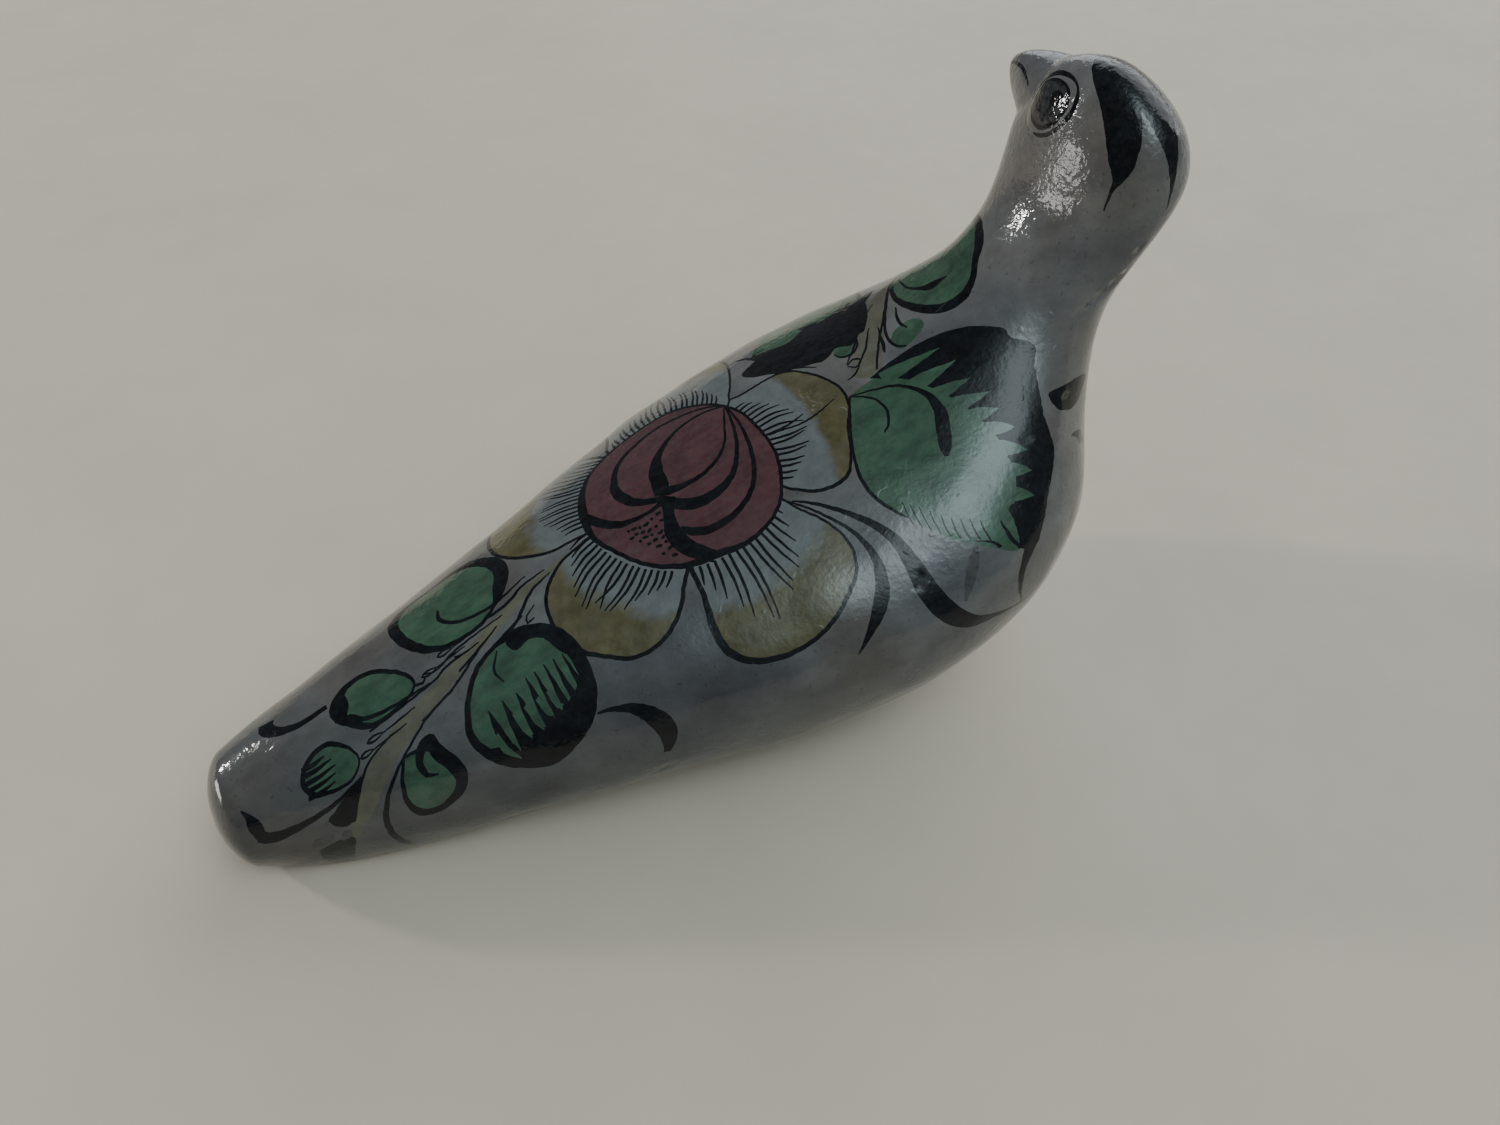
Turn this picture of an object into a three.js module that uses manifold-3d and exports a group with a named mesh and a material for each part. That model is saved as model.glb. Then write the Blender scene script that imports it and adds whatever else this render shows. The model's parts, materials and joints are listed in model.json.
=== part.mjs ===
// A painted clay dove that is also a vessel whistle. Millimetres, +Z up.
// The bird stands along X, tail at low x and breast at high x, with its left side towards +Y.
// Its head is turned over its left shoulder, so the beak points along +Y.

import * as THREE from 'three';
import { mergeVertices } from 'three/addons/utils/BufferGeometryUtils.js';
import Module from 'manifold-3d';

const wasm = await Module();
wasm.setup();

// The hollow form is a run of leaning rings from the tail tip to the crown. Each ring has the
// x and z of its middle, its lean towards the tail in degrees, its heights above and below the
// middle, and its half width.
const RINGS = [
  { x: 4.5, z: 12.5, lean: 3, above: 11, below: 9, half: 10 },
  { x: 18, z: 15, lean: -6.5, above: 15, below: 19.5, half: 14.5 },
  { x: 74, z: 24, lean: 1, above: 23.5, below: 26, half: 32 },
  { x: 113, z: 36, lean: 5, above: 23, below: 42, half: 42.5 },
  { x: 145.5, z: 42.5, lean: 31, above: 27, below: 40, half: 46 },
  { x: 164, z: 55.5, lean: 53.5, above: 24.5, below: 35, half: 39.5 },
  { x: 183.5, z: 81.5, lean: 65, above: 14, below: 15.5, half: 18 },
  { x: 194, z: 99.5, lean: 85.5, above: 14, below: 13, half: 19.5 },
  { x: 192.5, z: 123, lean: 86.5, above: 10, below: 15, half: 19.5 },
];
const TAIL_ROUND = 5;
const CROWN_ROUND = 19;
const WALL = 5;

// Joining slip: its thickness, and the gap that is left on each side of it.
const SLIP = 0.8;
const GAP = 0.3;
const TAIL_JOINT_X = 42;
const NECK_JOINT_PATH = 203;
const SEAM_SPLIT = { x: 34, z: 14, slope: 0.435 };

// Whistle parts in the tail.
const HOLLOW_START = 17.5;
const BLOW_HOLE = { fromX: -5, toX: 9.5, halfWidth: 5, bottom: 7.7, top: 13 };
const WINDWAY = { startX: 3, startZ: 10.9, endX: 24, endZ: 6.2, width: 8, height: 2.4 };
const SLOT = { fromX: 7.2, toX: 37.5, halfWidth: 5.4 };
const WINDOW = { fromX: 22.5, toX: 29 };
const LABIUM_EDGE = 0.6;

// Beak and eyes.
const BEAK = { tip: [193.8, 26.7, 113.1], length: 14.5, rootWidth: 15.4, rootHeight: 18.8, rise: 7 };
const BEAK_BLUNTNESS = 0.72;
const EYE = { path: 236.5, angle: 78, long: 13.8, short: 9.2, tilt: 59, proud: 1.1 };

// Fineness of the facets.
const OUTER = { rings: 50, sides: 40 };
const INNER = { rings: 26, sides: 20 };
const BEAK_STEPS = 10;
const BEAK_SIDES = 28;
const EYE_SIDES = 28;
const REACH = 400;

const CLAY = { color: 0x67605c, roughness: 0.28, metalness: 0 };
const BARE_CLAY = { color: 0x8b8077, roughness: 0.85, metalness: 0 };
const BLACK_SLIP = { color: 0x15181b, roughness: 0.25, metalness: 0 };

// Distance along the straight lines between ring middles, from the tail tip.
function ringDistances() {
  const distances = [0];
  for (let i = 1; i < RINGS.length; i++) {
    const step = Math.hypot(RINGS[i].x - RINGS[i - 1].x, RINGS[i].z - RINGS[i - 1].z);
    distances.push(distances[i - 1] + step);
  }
  return distances;
}

// Second derivatives of the natural cubic spline through the values, by elimination.
function splineBends(knots, values) {
  const bends = values.map(() => 0);
  const carry = values.map(() => 0);
  for (let i = 1; i < values.length - 1; i++) {
    const before = knots[i] - knots[i - 1];
    const after = knots[i + 1] - knots[i];
    const slopeChange = (values[i + 1] - values[i]) / after - (values[i] - values[i - 1]) / before;
    const pivot = 2 * (before + after) - before * carry[i - 1];
    carry[i] = after / pivot;
    bends[i] = (6 * slopeChange - before * bends[i - 1]) / pivot;
  }
  for (let i = values.length - 2; i > 0; i--) bends[i] -= carry[i] * bends[i + 1];
  return bends;
}

// A smooth function through the values at the knots.
function naturalSpline(knots, values) {
  const bends = splineBends(knots, values);
  return (at) => {
    let i = 0;
    while (i < knots.length - 2 && at > knots[i + 1]) i++;
    const width = knots[i + 1] - knots[i];
    const b = (at - knots[i]) / width;
    const a = 1 - b;
    const curve = (a ** 3 - a) * bends[i] + (b ** 3 - b) * bends[i + 1];
    return a * values[i] + b * values[i + 1] + (curve * width * width) / 6;
  };
}

const KNOTS = ringDistances();
const PATH_LENGTH = KNOTS.at(-1);
const path = {};
for (const key of Object.keys(RINGS[0])) {
  path[key] = naturalSpline(KNOTS, RINGS.map((ring) => ring[key]));
}

// Quarter-circle rounding, from 0 at the end to 1 at the given radius.
function rounding(distance, radius) {
  const rest = 1 - THREE.MathUtils.clamp(distance / radius, 0, 1);
  return Math.sqrt(1 - rest * rest);
}

// A point of the form at a distance along the path. Angle 0 is the bird's left, 90 the back,
// 180 the right and 270 the belly. A positive inset moves it into the clay.
function formPoint(at, angle, inset, range) {
  const round = rounding(at - range.from, TAIL_ROUND) * rounding(range.to - at, CROWN_ROUND);
  const turn = THREE.MathUtils.degToRad(angle);
  const lean = THREE.MathUtils.degToRad(path.lean(at));
  const height = (Math.sin(turn) > 0 ? path.above(at) : path.below(at)) - inset;
  const rise = round * Math.sin(turn) * height;
  const x = path.x(at) - Math.sin(lean) * rise;
  const y = round * (path.half(at) - inset) * Math.cos(turn);
  const z = path.z(at) + Math.cos(lean) * rise;
  return new THREE.Vector3(x, y, Math.max(z, inset));
}

function toManifold(geometry) {
  const bare = geometry.clone();
  bare.deleteAttribute('normal');
  bare.deleteAttribute('uv');
  const merged = mergeVertices(bare, 1e-5);
  const vertProperties = new Float32Array(merged.attributes.position.array);
  const triVerts = new Uint32Array(merged.index.array);
  return new wasm.Manifold(new wasm.Mesh({ numProp: 3, vertProperties, triVerts }));
}

function toGeometry(solid) {
  const mesh = solid.getMesh();
  const geometry = new THREE.BufferGeometry();
  geometry.setAttribute('position', new THREE.BufferAttribute(mesh.vertProperties, 3));
  geometry.setIndex(new THREE.BufferAttribute(mesh.triVerts, 1));
  const faceted = geometry.toNonIndexed();
  faceted.computeVertexNormals();
  return faceted;
}

// The closed form at an inset, from its rings and one point at each end.
function formSolid(inset, range, { rings, sides }) {
  const points = [formPoint(range.from, 0, inset, range)];
  const faces = [];
  for (let i = 1; i < rings; i++) {
    const share = (1 - Math.cos((Math.PI * i) / rings)) / 2;
    const at = range.from + share * (range.to - range.from);
    for (let j = 0; j < sides; j++) points.push(formPoint(at, (360 * j) / sides, inset, range));
  }
  points.push(formPoint(range.to, 0, inset, range));
  const index = (i, j) => 1 + (i - 1) * sides + (j % sides);
  for (let j = 0; j < sides; j++) {
    faces.push(0, index(1, j + 1), index(1, j));
    faces.push(points.length - 1, index(rings - 1, j), index(rings - 1, j + 1));
    for (let i = 1; i < rings - 1; i++) {
      faces.push(index(i, j), index(i + 1, j + 1), index(i + 1, j));
      faces.push(index(i, j), index(i, j + 1), index(i + 1, j + 1));
    }
  }
  const geometry = new THREE.BufferGeometry().setFromPoints(points);
  geometry.setIndex(faces);
  return toManifold(geometry);
}

function box(fromX, toX, halfWidth, bottom, top) {
  const geometry = new THREE.BoxGeometry(toX - fromX, 2 * halfWidth, top - bottom);
  return toManifold(geometry.translate((fromX + toX) / 2, 0, (bottom + top) / 2));
}

// Everything between two distances from a plane through a point.
function slab(point, normal, from, to) {
  const geometry = new THREE.BoxGeometry(REACH, REACH, to - from);
  geometry.translate(0, 0, (from + to) / 2);
  const turn = new THREE.Quaternion().setFromUnitVectors(new THREE.Vector3(0, 0, 1), normal);
  return toManifold(geometry.applyQuaternion(turn).translate(point.x, point.y, point.z));
}

const X = new THREE.Vector3(1, 0, 0);
const Y = new THREE.Vector3(0, 1, 0);
const CENTRE = new THREE.Vector3(0, 0, 0);
const HALF_JOINT = SLIP / 2 + GAP;

const WHOLE = { from: 0, to: PATH_LENGTH };
const HOLLOW = { from: HOLLOW_START, to: PATH_LENGTH - WALL };
const outer = formSolid(0, WHOLE, OUTER);
const inner = formSolid(WALL, HOLLOW, INNER);
const clearance = formSolid(-GAP, WHOLE, OUTER);
const crust = outer.subtract(inner);

const tailJoint = new THREE.Vector3(TAIL_JOINT_X, 0, 0);
const neckLean = THREE.MathUtils.degToRad(path.lean(NECK_JOINT_PATH));
const neckJoint = new THREE.Vector3(path.x(NECK_JOINT_PATH), 0, path.z(NECK_JOINT_PATH));
const neckAxis = new THREE.Vector3(Math.cos(neckLean), 0, Math.sin(neckLean));

// The body's wall, between the tail joint and the neck joint.
function bodyCrust() {
  const aheadOfTail = slab(tailJoint, X, HALF_JOINT, REACH);
  const underNeck = slab(neckJoint, neckAxis, -REACH, -HALF_JOINT);
  return crust.intersect(aheadOfTail).intersect(underNeck);
}

function bodyShell(side) {
  const away = Y.clone().multiplyScalar(side);
  return bodyCrust().intersect(slab(CENTRE, away, HALF_JOINT, REACH));
}

// The slip between the halves: one strip over the back, one under the belly.
function seamSlip(side) {
  const across = new THREE.Vector3(-SEAM_SPLIT.slope, 0, 1).normalize().multiplyScalar(side);
  const start = new THREE.Vector3(SEAM_SPLIT.x, 0, SEAM_SPLIT.z);
  const strip = bodyCrust().intersect(slab(CENTRE, Y, -SLIP / 2, SLIP / 2));
  return strip.intersect(slab(start, across, 0, REACH));
}

function headShell() {
  return crust.intersect(slab(neckJoint, neckAxis, HALF_JOINT, REACH));
}

// The air channel slopes down from the blowing hole to the edge of the window.
const channelRun = new THREE.Vector3(
  WINDWAY.endX - WINDWAY.startX, 0, WINDWAY.endZ - WINDWAY.startZ,
);
const channelUp = new THREE.Vector3(-channelRun.z, 0, channelRun.x).normalize();
const channelStart = new THREE.Vector3(WINDWAY.startX, 0, WINDWAY.startZ);

function windway() {
  const layer = slab(channelStart, channelUp, -WINDWAY.height / 2, WINDWAY.height / 2);
  return layer.intersect(box(WINDWAY.startX, WINDWAY.endX, WINDWAY.width / 2, 0, REACH));
}

// Everything under the floor of the air channel, or a little above it.
function underWindway(above) {
  return slab(channelStart, channelUp, -REACH, above - WINDWAY.height / 2);
}

function tailBlock() {
  return outer.intersect(slab(tailJoint, X, -REACH, -HALF_JOINT));
}

function blowHole() {
  const { fromX, toX, halfWidth, bottom, top } = BLOW_HOLE;
  return box(fromX, toX, halfWidth, bottom, top);
}

// The blunt end of the tail, with a slot in its underside that the two strips close in part.
function tailMouthpiece() {
  const slotUnderWindway = box(SLOT.fromX, WINDOW.fromX + GAP, SLOT.halfWidth, -WALL, REACH);
  const slotUnderHollow = box(WINDOW.fromX, SLOT.toX, SLOT.halfWidth, -WALL, WALL + GAP);
  return tailBlock()
    .subtract(inner)
    .subtract(blowHole())
    .subtract(windway())
    .subtract(slotUnderWindway.intersect(underWindway(GAP)))
    .subtract(slotUnderHollow);
}

function windwayCover() {
  const { fromX, halfWidth } = SLOT;
  const strip = box(fromX + GAP, WINDOW.fromX, halfWidth - GAP, -WALL, REACH);
  const overHole = box(BLOW_HOLE.fromX, BLOW_HOLE.toX, REACH, BLOW_HOLE.bottom - GAP, REACH);
  return tailBlock().intersect(strip).intersect(underWindway(0)).subtract(overHole);
}

// Its lower face runs from a thin edge at the window down to the base.
function labiumWedge() {
  const strip = box(WINDOW.toX, SLOT.toX - GAP, SLOT.halfWidth - GAP, -WALL, WALL);
  const edge = new THREE.Vector3(WINDOW.toX, 0, WALL - LABIUM_EDGE);
  const fall = new THREE.Vector3(SLOT.toX - WINDOW.toX - WALL, 0, LABIUM_EDGE - WALL);
  const underside = new THREE.Vector3(fall.z, 0, -fall.x).normalize();
  return tailBlock().intersect(strip).subtract(slab(edge, underside, 0, REACH));
}

// A blunt cone with its axis along Y, luted on the head's left side.
function beak() {
  const profile = [new THREE.Vector2(0, -BEAK.length)];
  for (let i = BEAK_STEPS; i >= 0; i--) {
    const back = i / BEAK_STEPS;
    profile.push(new THREE.Vector2(back ** BEAK_BLUNTNESS / 2, -back * BEAK.length));
  }
  const cone = new THREE.LatheGeometry(profile, BEAK_SIDES);
  cone.scale(BEAK.rootWidth, 1, BEAK.rootHeight);
  cone.rotateX(THREE.MathUtils.degToRad(BEAK.rise));
  cone.translate(...BEAK.tip);
  return toManifold(cone).subtract(clearance);
}

// A thin oval pellet that follows the cheek. Side 1 is the left eye and side -1 the right.
function eye(side) {
  const step = 1;
  const angle = side * EYE.angle;
  const centre = formPoint(EYE.path, angle, 0, WHOLE);
  const along = formPoint(EYE.path + step, angle, 0, WHOLE).sub(centre).normalize();
  const around = formPoint(EYE.path, angle + step, 0, WHOLE).sub(centre).normalize();
  const normal = around.clone().cross(along).normalize();
  const across = along.clone().cross(normal);
  const oval = new THREE.CylinderGeometry(0.5, 0.5, EYE.long, EYE_SIDES);
  oval.rotateX(Math.PI / 2).scale(EYE.short, EYE.long, 1);
  oval.rotateZ(THREE.MathUtils.degToRad(-side * EYE.tilt));
  const placed = new THREE.Matrix4().makeBasis(across, along, normal).setPosition(centre);
  const skin = formSolid(-EYE.proud, WHOLE, OUTER).subtract(clearance);
  return toManifold(oval.applyMatrix4(placed)).intersect(skin);
}

const bird = new THREE.Group();

function add(name, solid, look) {
  const mesh = new THREE.Mesh(toGeometry(solid), new THREE.MeshStandardMaterial(look));
  mesh.name = name;
  bird.add(mesh);
}

add('body_shell_left', bodyShell(1), CLAY);
add('body_shell_right', bodyShell(-1), CLAY);
add('seam_slip_back', seamSlip(1), BARE_CLAY);
add('seam_slip_belly', seamSlip(-1), BARE_CLAY);
add('head_shell', headShell(), CLAY);
add('neck_joint_slip', crust.intersect(slab(neckJoint, neckAxis, -SLIP / 2, SLIP / 2)), BARE_CLAY);
add('beak', beak(), CLAY);
add('eye_left', eye(1), BLACK_SLIP);
add('eye_right', eye(-1), BLACK_SLIP);
add('tail_mouthpiece', tailMouthpiece(), CLAY);
add('tail_joint_slip', crust.intersect(slab(tailJoint, X, -SLIP / 2, SLIP / 2)), BARE_CLAY);
add('windway_cover', windwayCover(), CLAY);
add('labium_wedge', labiumWedge(), CLAY);

// The origin is on the ground under the middle of the bird.
const extent = new THREE.Box3().setFromObject(bird);
const middle = extent.getCenter(new THREE.Vector3());
bird.position.set(-middle.x, -middle.y, -extent.min.z);

export default bird;
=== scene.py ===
import json
import math

import bmesh
import bpy
import numpy as np
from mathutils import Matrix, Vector
from mathutils.bvhtree import BVHTree
from mathutils.kdtree import KDTree
from mathutils.geometry import delaunay_2d_cdt


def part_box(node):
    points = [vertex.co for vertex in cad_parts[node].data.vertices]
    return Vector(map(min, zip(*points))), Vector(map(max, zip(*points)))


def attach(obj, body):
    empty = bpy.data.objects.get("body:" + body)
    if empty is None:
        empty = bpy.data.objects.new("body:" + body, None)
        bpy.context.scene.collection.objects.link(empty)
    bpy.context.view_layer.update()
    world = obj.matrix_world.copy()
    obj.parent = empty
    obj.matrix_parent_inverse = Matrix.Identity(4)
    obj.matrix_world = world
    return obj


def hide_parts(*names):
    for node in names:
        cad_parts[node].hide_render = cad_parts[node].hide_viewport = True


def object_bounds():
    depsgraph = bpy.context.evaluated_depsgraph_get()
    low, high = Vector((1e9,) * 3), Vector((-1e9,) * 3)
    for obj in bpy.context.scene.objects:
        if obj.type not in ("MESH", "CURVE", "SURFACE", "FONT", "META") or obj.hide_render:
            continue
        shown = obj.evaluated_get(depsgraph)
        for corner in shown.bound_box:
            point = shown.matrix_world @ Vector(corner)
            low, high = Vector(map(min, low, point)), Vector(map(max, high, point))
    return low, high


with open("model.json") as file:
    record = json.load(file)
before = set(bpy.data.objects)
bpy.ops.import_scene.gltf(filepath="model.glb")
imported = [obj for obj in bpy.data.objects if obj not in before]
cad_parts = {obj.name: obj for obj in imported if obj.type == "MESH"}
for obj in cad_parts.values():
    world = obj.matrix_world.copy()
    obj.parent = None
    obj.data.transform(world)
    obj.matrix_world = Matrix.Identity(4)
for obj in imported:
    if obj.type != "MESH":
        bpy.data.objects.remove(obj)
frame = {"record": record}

CAD_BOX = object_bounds()

# A hand-painted clay dove that is also a whistle. Lengths are in millimetres until MM turns them
# into metres. The bird's surface is unrolled into a chart: m runs along it from the tail tip to
# the crown, and v runs round it from the ridge of the back, more than 0 on the bird's right side
# and less than 0 on its left.
MM = 0.001

# The leaning rings of the hollow form: x and z of the middle, lean towards the tail in degrees,
# heights above and below the middle, and half width. They were fitted to the photo's outline
# and rounded.
RINGS = np.array([
    (4.5, 12.5, 3, 11, 9, 10),
    (18, 15, -6.5, 15, 19.5, 14.5),
    (74, 24, 1, 23.5, 26, 32),
    (113, 36, 5, 23, 42, 42.5),
    (145.5, 42.5, 31, 27, 40, 46),
    (164, 55.5, 53.5, 24.5, 35, 39.5),
    (183.5, 81.5, 65, 14, 15.5, 18),
    (194, 99.5, 85.5, 14, 13, 19.5),
    (192.5, 123, 86.5, 10, 15, 19.5),
], float)
TAIL_ROUND, CROWN_ROUND, WALL = 5.0, 19.0, 5.0
TAIL_JOINT_X, NECK_JOINT_PATH, HOLLOW_START = 42.0, 203.0, 17.5
BASE_SOFTNESS = 0.35
# How far the clay keeps from a joint's plane at the hollow, to leave room for the slip.
SLIP_ROOM = 0.62

# ---------------------------------------------------------------- form and chart


def natural_spline(knots, values):
    """A smooth function through the values at the knots."""
    count = len(knots)
    bends, carry = np.zeros(count), np.zeros(count)
    for i in range(1, count - 1):
        before, after = knots[i] - knots[i - 1], knots[i + 1] - knots[i]
        change = (values[i + 1] - values[i]) / after - (values[i] - values[i - 1]) / before
        pivot = 2 * (before + after) - before * carry[i - 1]
        carry[i] = after / pivot
        bends[i] = (6 * change - before * bends[i - 1]) / pivot
    for i in range(count - 2, 0, -1):
        bends[i] -= carry[i] * bends[i + 1]

    def curve(at):
        i = np.clip(np.searchsorted(knots, at) - 1, 0, count - 2)
        width = knots[i + 1] - knots[i]
        b = (at - knots[i]) / width
        a = 1 - b
        bend = (a**3 - a) * bends[i] + (b**3 - b) * bends[i + 1]
        return a * values[i] + b * values[i + 1] + bend * width * width / 6

    return curve


KNOTS = np.r_[0, np.cumsum(np.hypot(*np.diff(RINGS[:, :2], axis=0).T))]
PATH_LENGTH = KNOTS[-1]
COLUMNS = [natural_spline(KNOTS, RINGS[:, k]) for k in range(6)]


def rounding(distance, radius):
    """The share of its full size that the form has at a distance from its round end."""
    rest = 1 - np.clip(distance / radius, 0, 1)
    return np.sqrt(np.maximum(0, 1 - rest * rest))


def form_point(at, angle, inset=0.0, start=0.0, end=PATH_LENGTH):
    """A point of the form, as the CAD part has it, but with its base edge softened."""
    x, z, lean, above, below, half = [column(at) for column in COLUMNS]
    full = rounding(at - start, TAIL_ROUND) * rounding(end - at, CROWN_ROUND)
    turn, lean = np.radians(angle), np.radians(lean)
    rise = full * np.sin(turn) * (np.where(np.sin(turn) > 0, above, below) - inset)
    height = z + np.cos(lean) * rise - inset
    height = (height + np.sqrt(height**2 + 4 * BASE_SOFTNESS**2)) / 2 + inset
    return np.stack([x - np.sin(lean) * rise, full * (half - inset) * np.cos(turn), height], -1)


CHART_ROWS, CHART_SPOKES, CHART_SHARES = 1200, 361, 721
ROW_PATH = PATH_LENGTH * (1 - np.cos(np.linspace(0, np.pi, CHART_ROWS))) / 2
SPOKES = np.linspace(90, 450, CHART_SPOKES)
_rows = form_point(ROW_PATH[:, None], SPOKES[None, :])
_round = np.cumsum(np.linalg.norm(np.diff(_rows, axis=1), axis=2), 1)
_round = np.c_[np.zeros(CHART_ROWS), _round]
ROW_GIRTH = _round[:, -1]
ROW_M = np.r_[0, np.cumsum(np.hypot(np.diff(ROW_PATH), np.diff(ROW_GIRTH / (2 * np.pi))))]
_shares = np.linspace(0, 1, CHART_SHARES)
ROW_ANGLES = np.array([np.interp(_shares * row[-1], row, SPOKES) for row in _round])
CHART_LENGTH = ROW_M[-1]
# The form's own x starts near the tail tip, and the part's origin is under its middle.
SHIFT = np.array([CAD_BOX[0][0] / MM - _rows[..., 0].min(), 0, 0])


def girth_at(m):
    return np.interp(m, ROW_M, ROW_GIRTH)


def part_way(m, share):
    """Chart points at a share of the way round from the ridge."""
    return np.stack([m, share * girth_at(m)], -1)


def unit(vectors):
    """The same directions, each of length 1."""
    return vectors / np.maximum(np.linalg.norm(vectors, axis=-1, keepdims=True), 1e-9)


def chart_place(m, v):
    """Path distance and angle of a chart point."""
    at = np.interp(m, ROW_M, ROW_PATH)
    row = np.interp(at, ROW_PATH, np.arange(CHART_ROWS))
    low = np.clip(row.astype(int), 0, CHART_ROWS - 2)
    part = row - low
    girth = np.maximum(ROW_GIRTH[low] * (1 - part) + ROW_GIRTH[low + 1] * part, 1e-6)
    share = (v / girth) % 1 * (CHART_SHARES - 1)
    left = np.clip(share.astype(int), 0, CHART_SHARES - 2)
    across = share - left

    def pick(r):
        return ROW_ANGLES[r, left] * (1 - across) + ROW_ANGLES[r, left + 1] * across

    return at, pick(low) * (1 - part) + pick(low + 1) * part


def outer_point(m, v):
    return form_point(*chart_place(m, v))


# The joints' planes in the form's frame: a point, and the way towards the head or the left.
_neck_lean = math.radians(float(COLUMNS[2](NECK_JOINT_PATH)))
JOINT_PLANES = {
    "tail": (np.array([TAIL_JOINT_X, 0, 0]), np.array([1.0, 0, 0])),
    "neck": (np.array([float(COLUMNS[0](NECK_JOINT_PATH)), 0, float(COLUMNS[1](NECK_JOINT_PATH))]),
             np.array([math.cos(_neck_lean), 0, math.sin(_neck_lean)])),
    "seam": (np.zeros(3), np.array([0, 1.0, 0])),
}


def kept_back(points, joint, side):
    """Points moved to leave room for the slip at a joint's inner edge."""
    origin, way = JOINT_PLANES[joint]
    short = np.maximum(SLIP_ROOM - side * ((points - origin) @ way), 0)
    return points + (side * short)[:, None] * way


def wall_point(at, angle):
    """A point of the hollow's wall."""
    return form_point(at, angle, WALL, HOLLOW_START, PATH_LENGTH - WALL)


def body_wall(m, v):
    return wall_point(*chart_place(m, v))


def body_inner(side):
    def wall(m, v):
        points = kept_back(kept_back(body_wall(m, v), "tail", 1), "neck", -1)
        return kept_back(points, "seam", side)

    return wall


def head_inner(m, v):
    at, angle = chart_place(m, v)
    share = (at - NECK_JOINT_PATH) / (PATH_LENGTH - NECK_JOINT_PATH)
    return kept_back(wall_point(at - WALL * share, angle), "neck", 1)


def tail_inner(m, v):
    at, angle = chart_place(m, v)
    joint = np.interp(TAIL_JOINT_X, COLUMNS[0](ROW_PATH), ROW_PATH)
    at = HOLLOW_START + np.minimum(at / joint, 1) * (joint - HOLLOW_START)
    return kept_back(wall_point(at, angle), "tail", -1)


# ---------------------------------------------------------------- relief

# Small hollows in the clay: m, v, radius along m, radius along v, depth. Below 0 is a bump.
DENTS = [
    (102, 44.6, 3.0, 1.9, 0.7),
    (93, 53.6, 1.6, 1.2, 0.35),
    (233, 26.2, 0.7, 0.6, 0.5),
    (151, 43.6, 0.55, 0.4, 0.3),
    (154.2, 42.2, 0.5, 0.4, 0.3),
    (157, 40.3, 0.35, 0.35, 0.25),
    (192.8, 33.4, 0.6, 0.5, 0.25),
    (203.6, 34, 0.6, 0.5, 0.3),
    (247, 23.6, 0.6, 0.5, -0.15),
    (96, -40, 1.8, 1.5, 0.35),
]
# The fold where the neck joins the shoulder: its chart points, and its depth and half width.
CREASE = [(217.2, 22.4), (221, 24), (225, 26.4), (229, 28)]
CREASE_DEPTH, CREASE_WIDTH = 0.8, 0.75
# Slow waves that a hand leaves when it smooths clay: wave numbers in radians per mm, phase, height.
WAVES = [
    ((0.21, 0.13, 0.10), 0.4, 0.10),
    ((-0.11, 0.24, 0.17), 2.1, 0.08),
    ((0.33, -0.20, 0.27), 4.0, 0.045),
    ((0.52, 0.47, -0.38), 1.2, 0.018),
    ((-0.61, 0.35, 0.55), 5.3, 0.014),
]
# How far the clay is set back, so that no wave leaves the CAD box, and the heights between which
# waves and setback fade in, so that the base stays flat.
WAVE_ROOM, WAVE_FLOOR, WAVE_FADE = 0.21, 1, 9


def wave_relief(point):
    """Height of the slow waves, and its gradient."""
    fade = np.clip((point[..., 2] - WAVE_FLOOR) / WAVE_FADE, 0, 1)
    height, slope = -WAVE_ROOM * fade, np.zeros(point.shape)
    for numbers, phase, size in WAVES:
        number = np.array(numbers)
        swing = point @ number + phase
        height += size * fade * np.sin(swing)
        slope += (size * fade * np.cos(swing))[..., None] * number
    return height, slope


def dent_relief(m, v):
    """Height of the small hollows and of the fold."""
    height = np.zeros(np.shape(m))
    for dm, dv, rm, rv, depth in DENTS:
        height -= depth * np.exp(-(((m - dm) / rm) ** 2) - ((v - dv) / rv) ** 2)
    for (m0, v0), (m1, v1) in zip(CREASE, CREASE[1:]):
        along = np.array([m1 - m0, v1 - v0])
        share = ((m - m0) * along[0] + (v - v0) * along[1]) / (along @ along)
        off = np.hypot(m - m0 - np.clip(share, 0, 1) * along[0],
                       v - v0 - np.clip(share, 0, 1) * along[1])
        whole = (np.clip(share, 0, 1) + CREASE.index((m0, v0))) / (len(CREASE) - 1)
        depth = CREASE_DEPTH * np.sin(np.pi * np.clip(whole, 0.02, 0.98))
        height = np.minimum(height, -depth * np.exp(-((off / CREASE_WIDTH) ** 2)))
    return height


# No point is closer than END_ROOM to either end of the chart, and closer than POLE_ROOM a normal
# is taken from there.
END_ROOM, POLE_ROOM = 0.02, 0.2
# The steps, in millimetres, over which slopes of the form and of its relief are measured.
FORM_STEP, RELIEF_STEP = 0.15, 0.05


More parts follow.
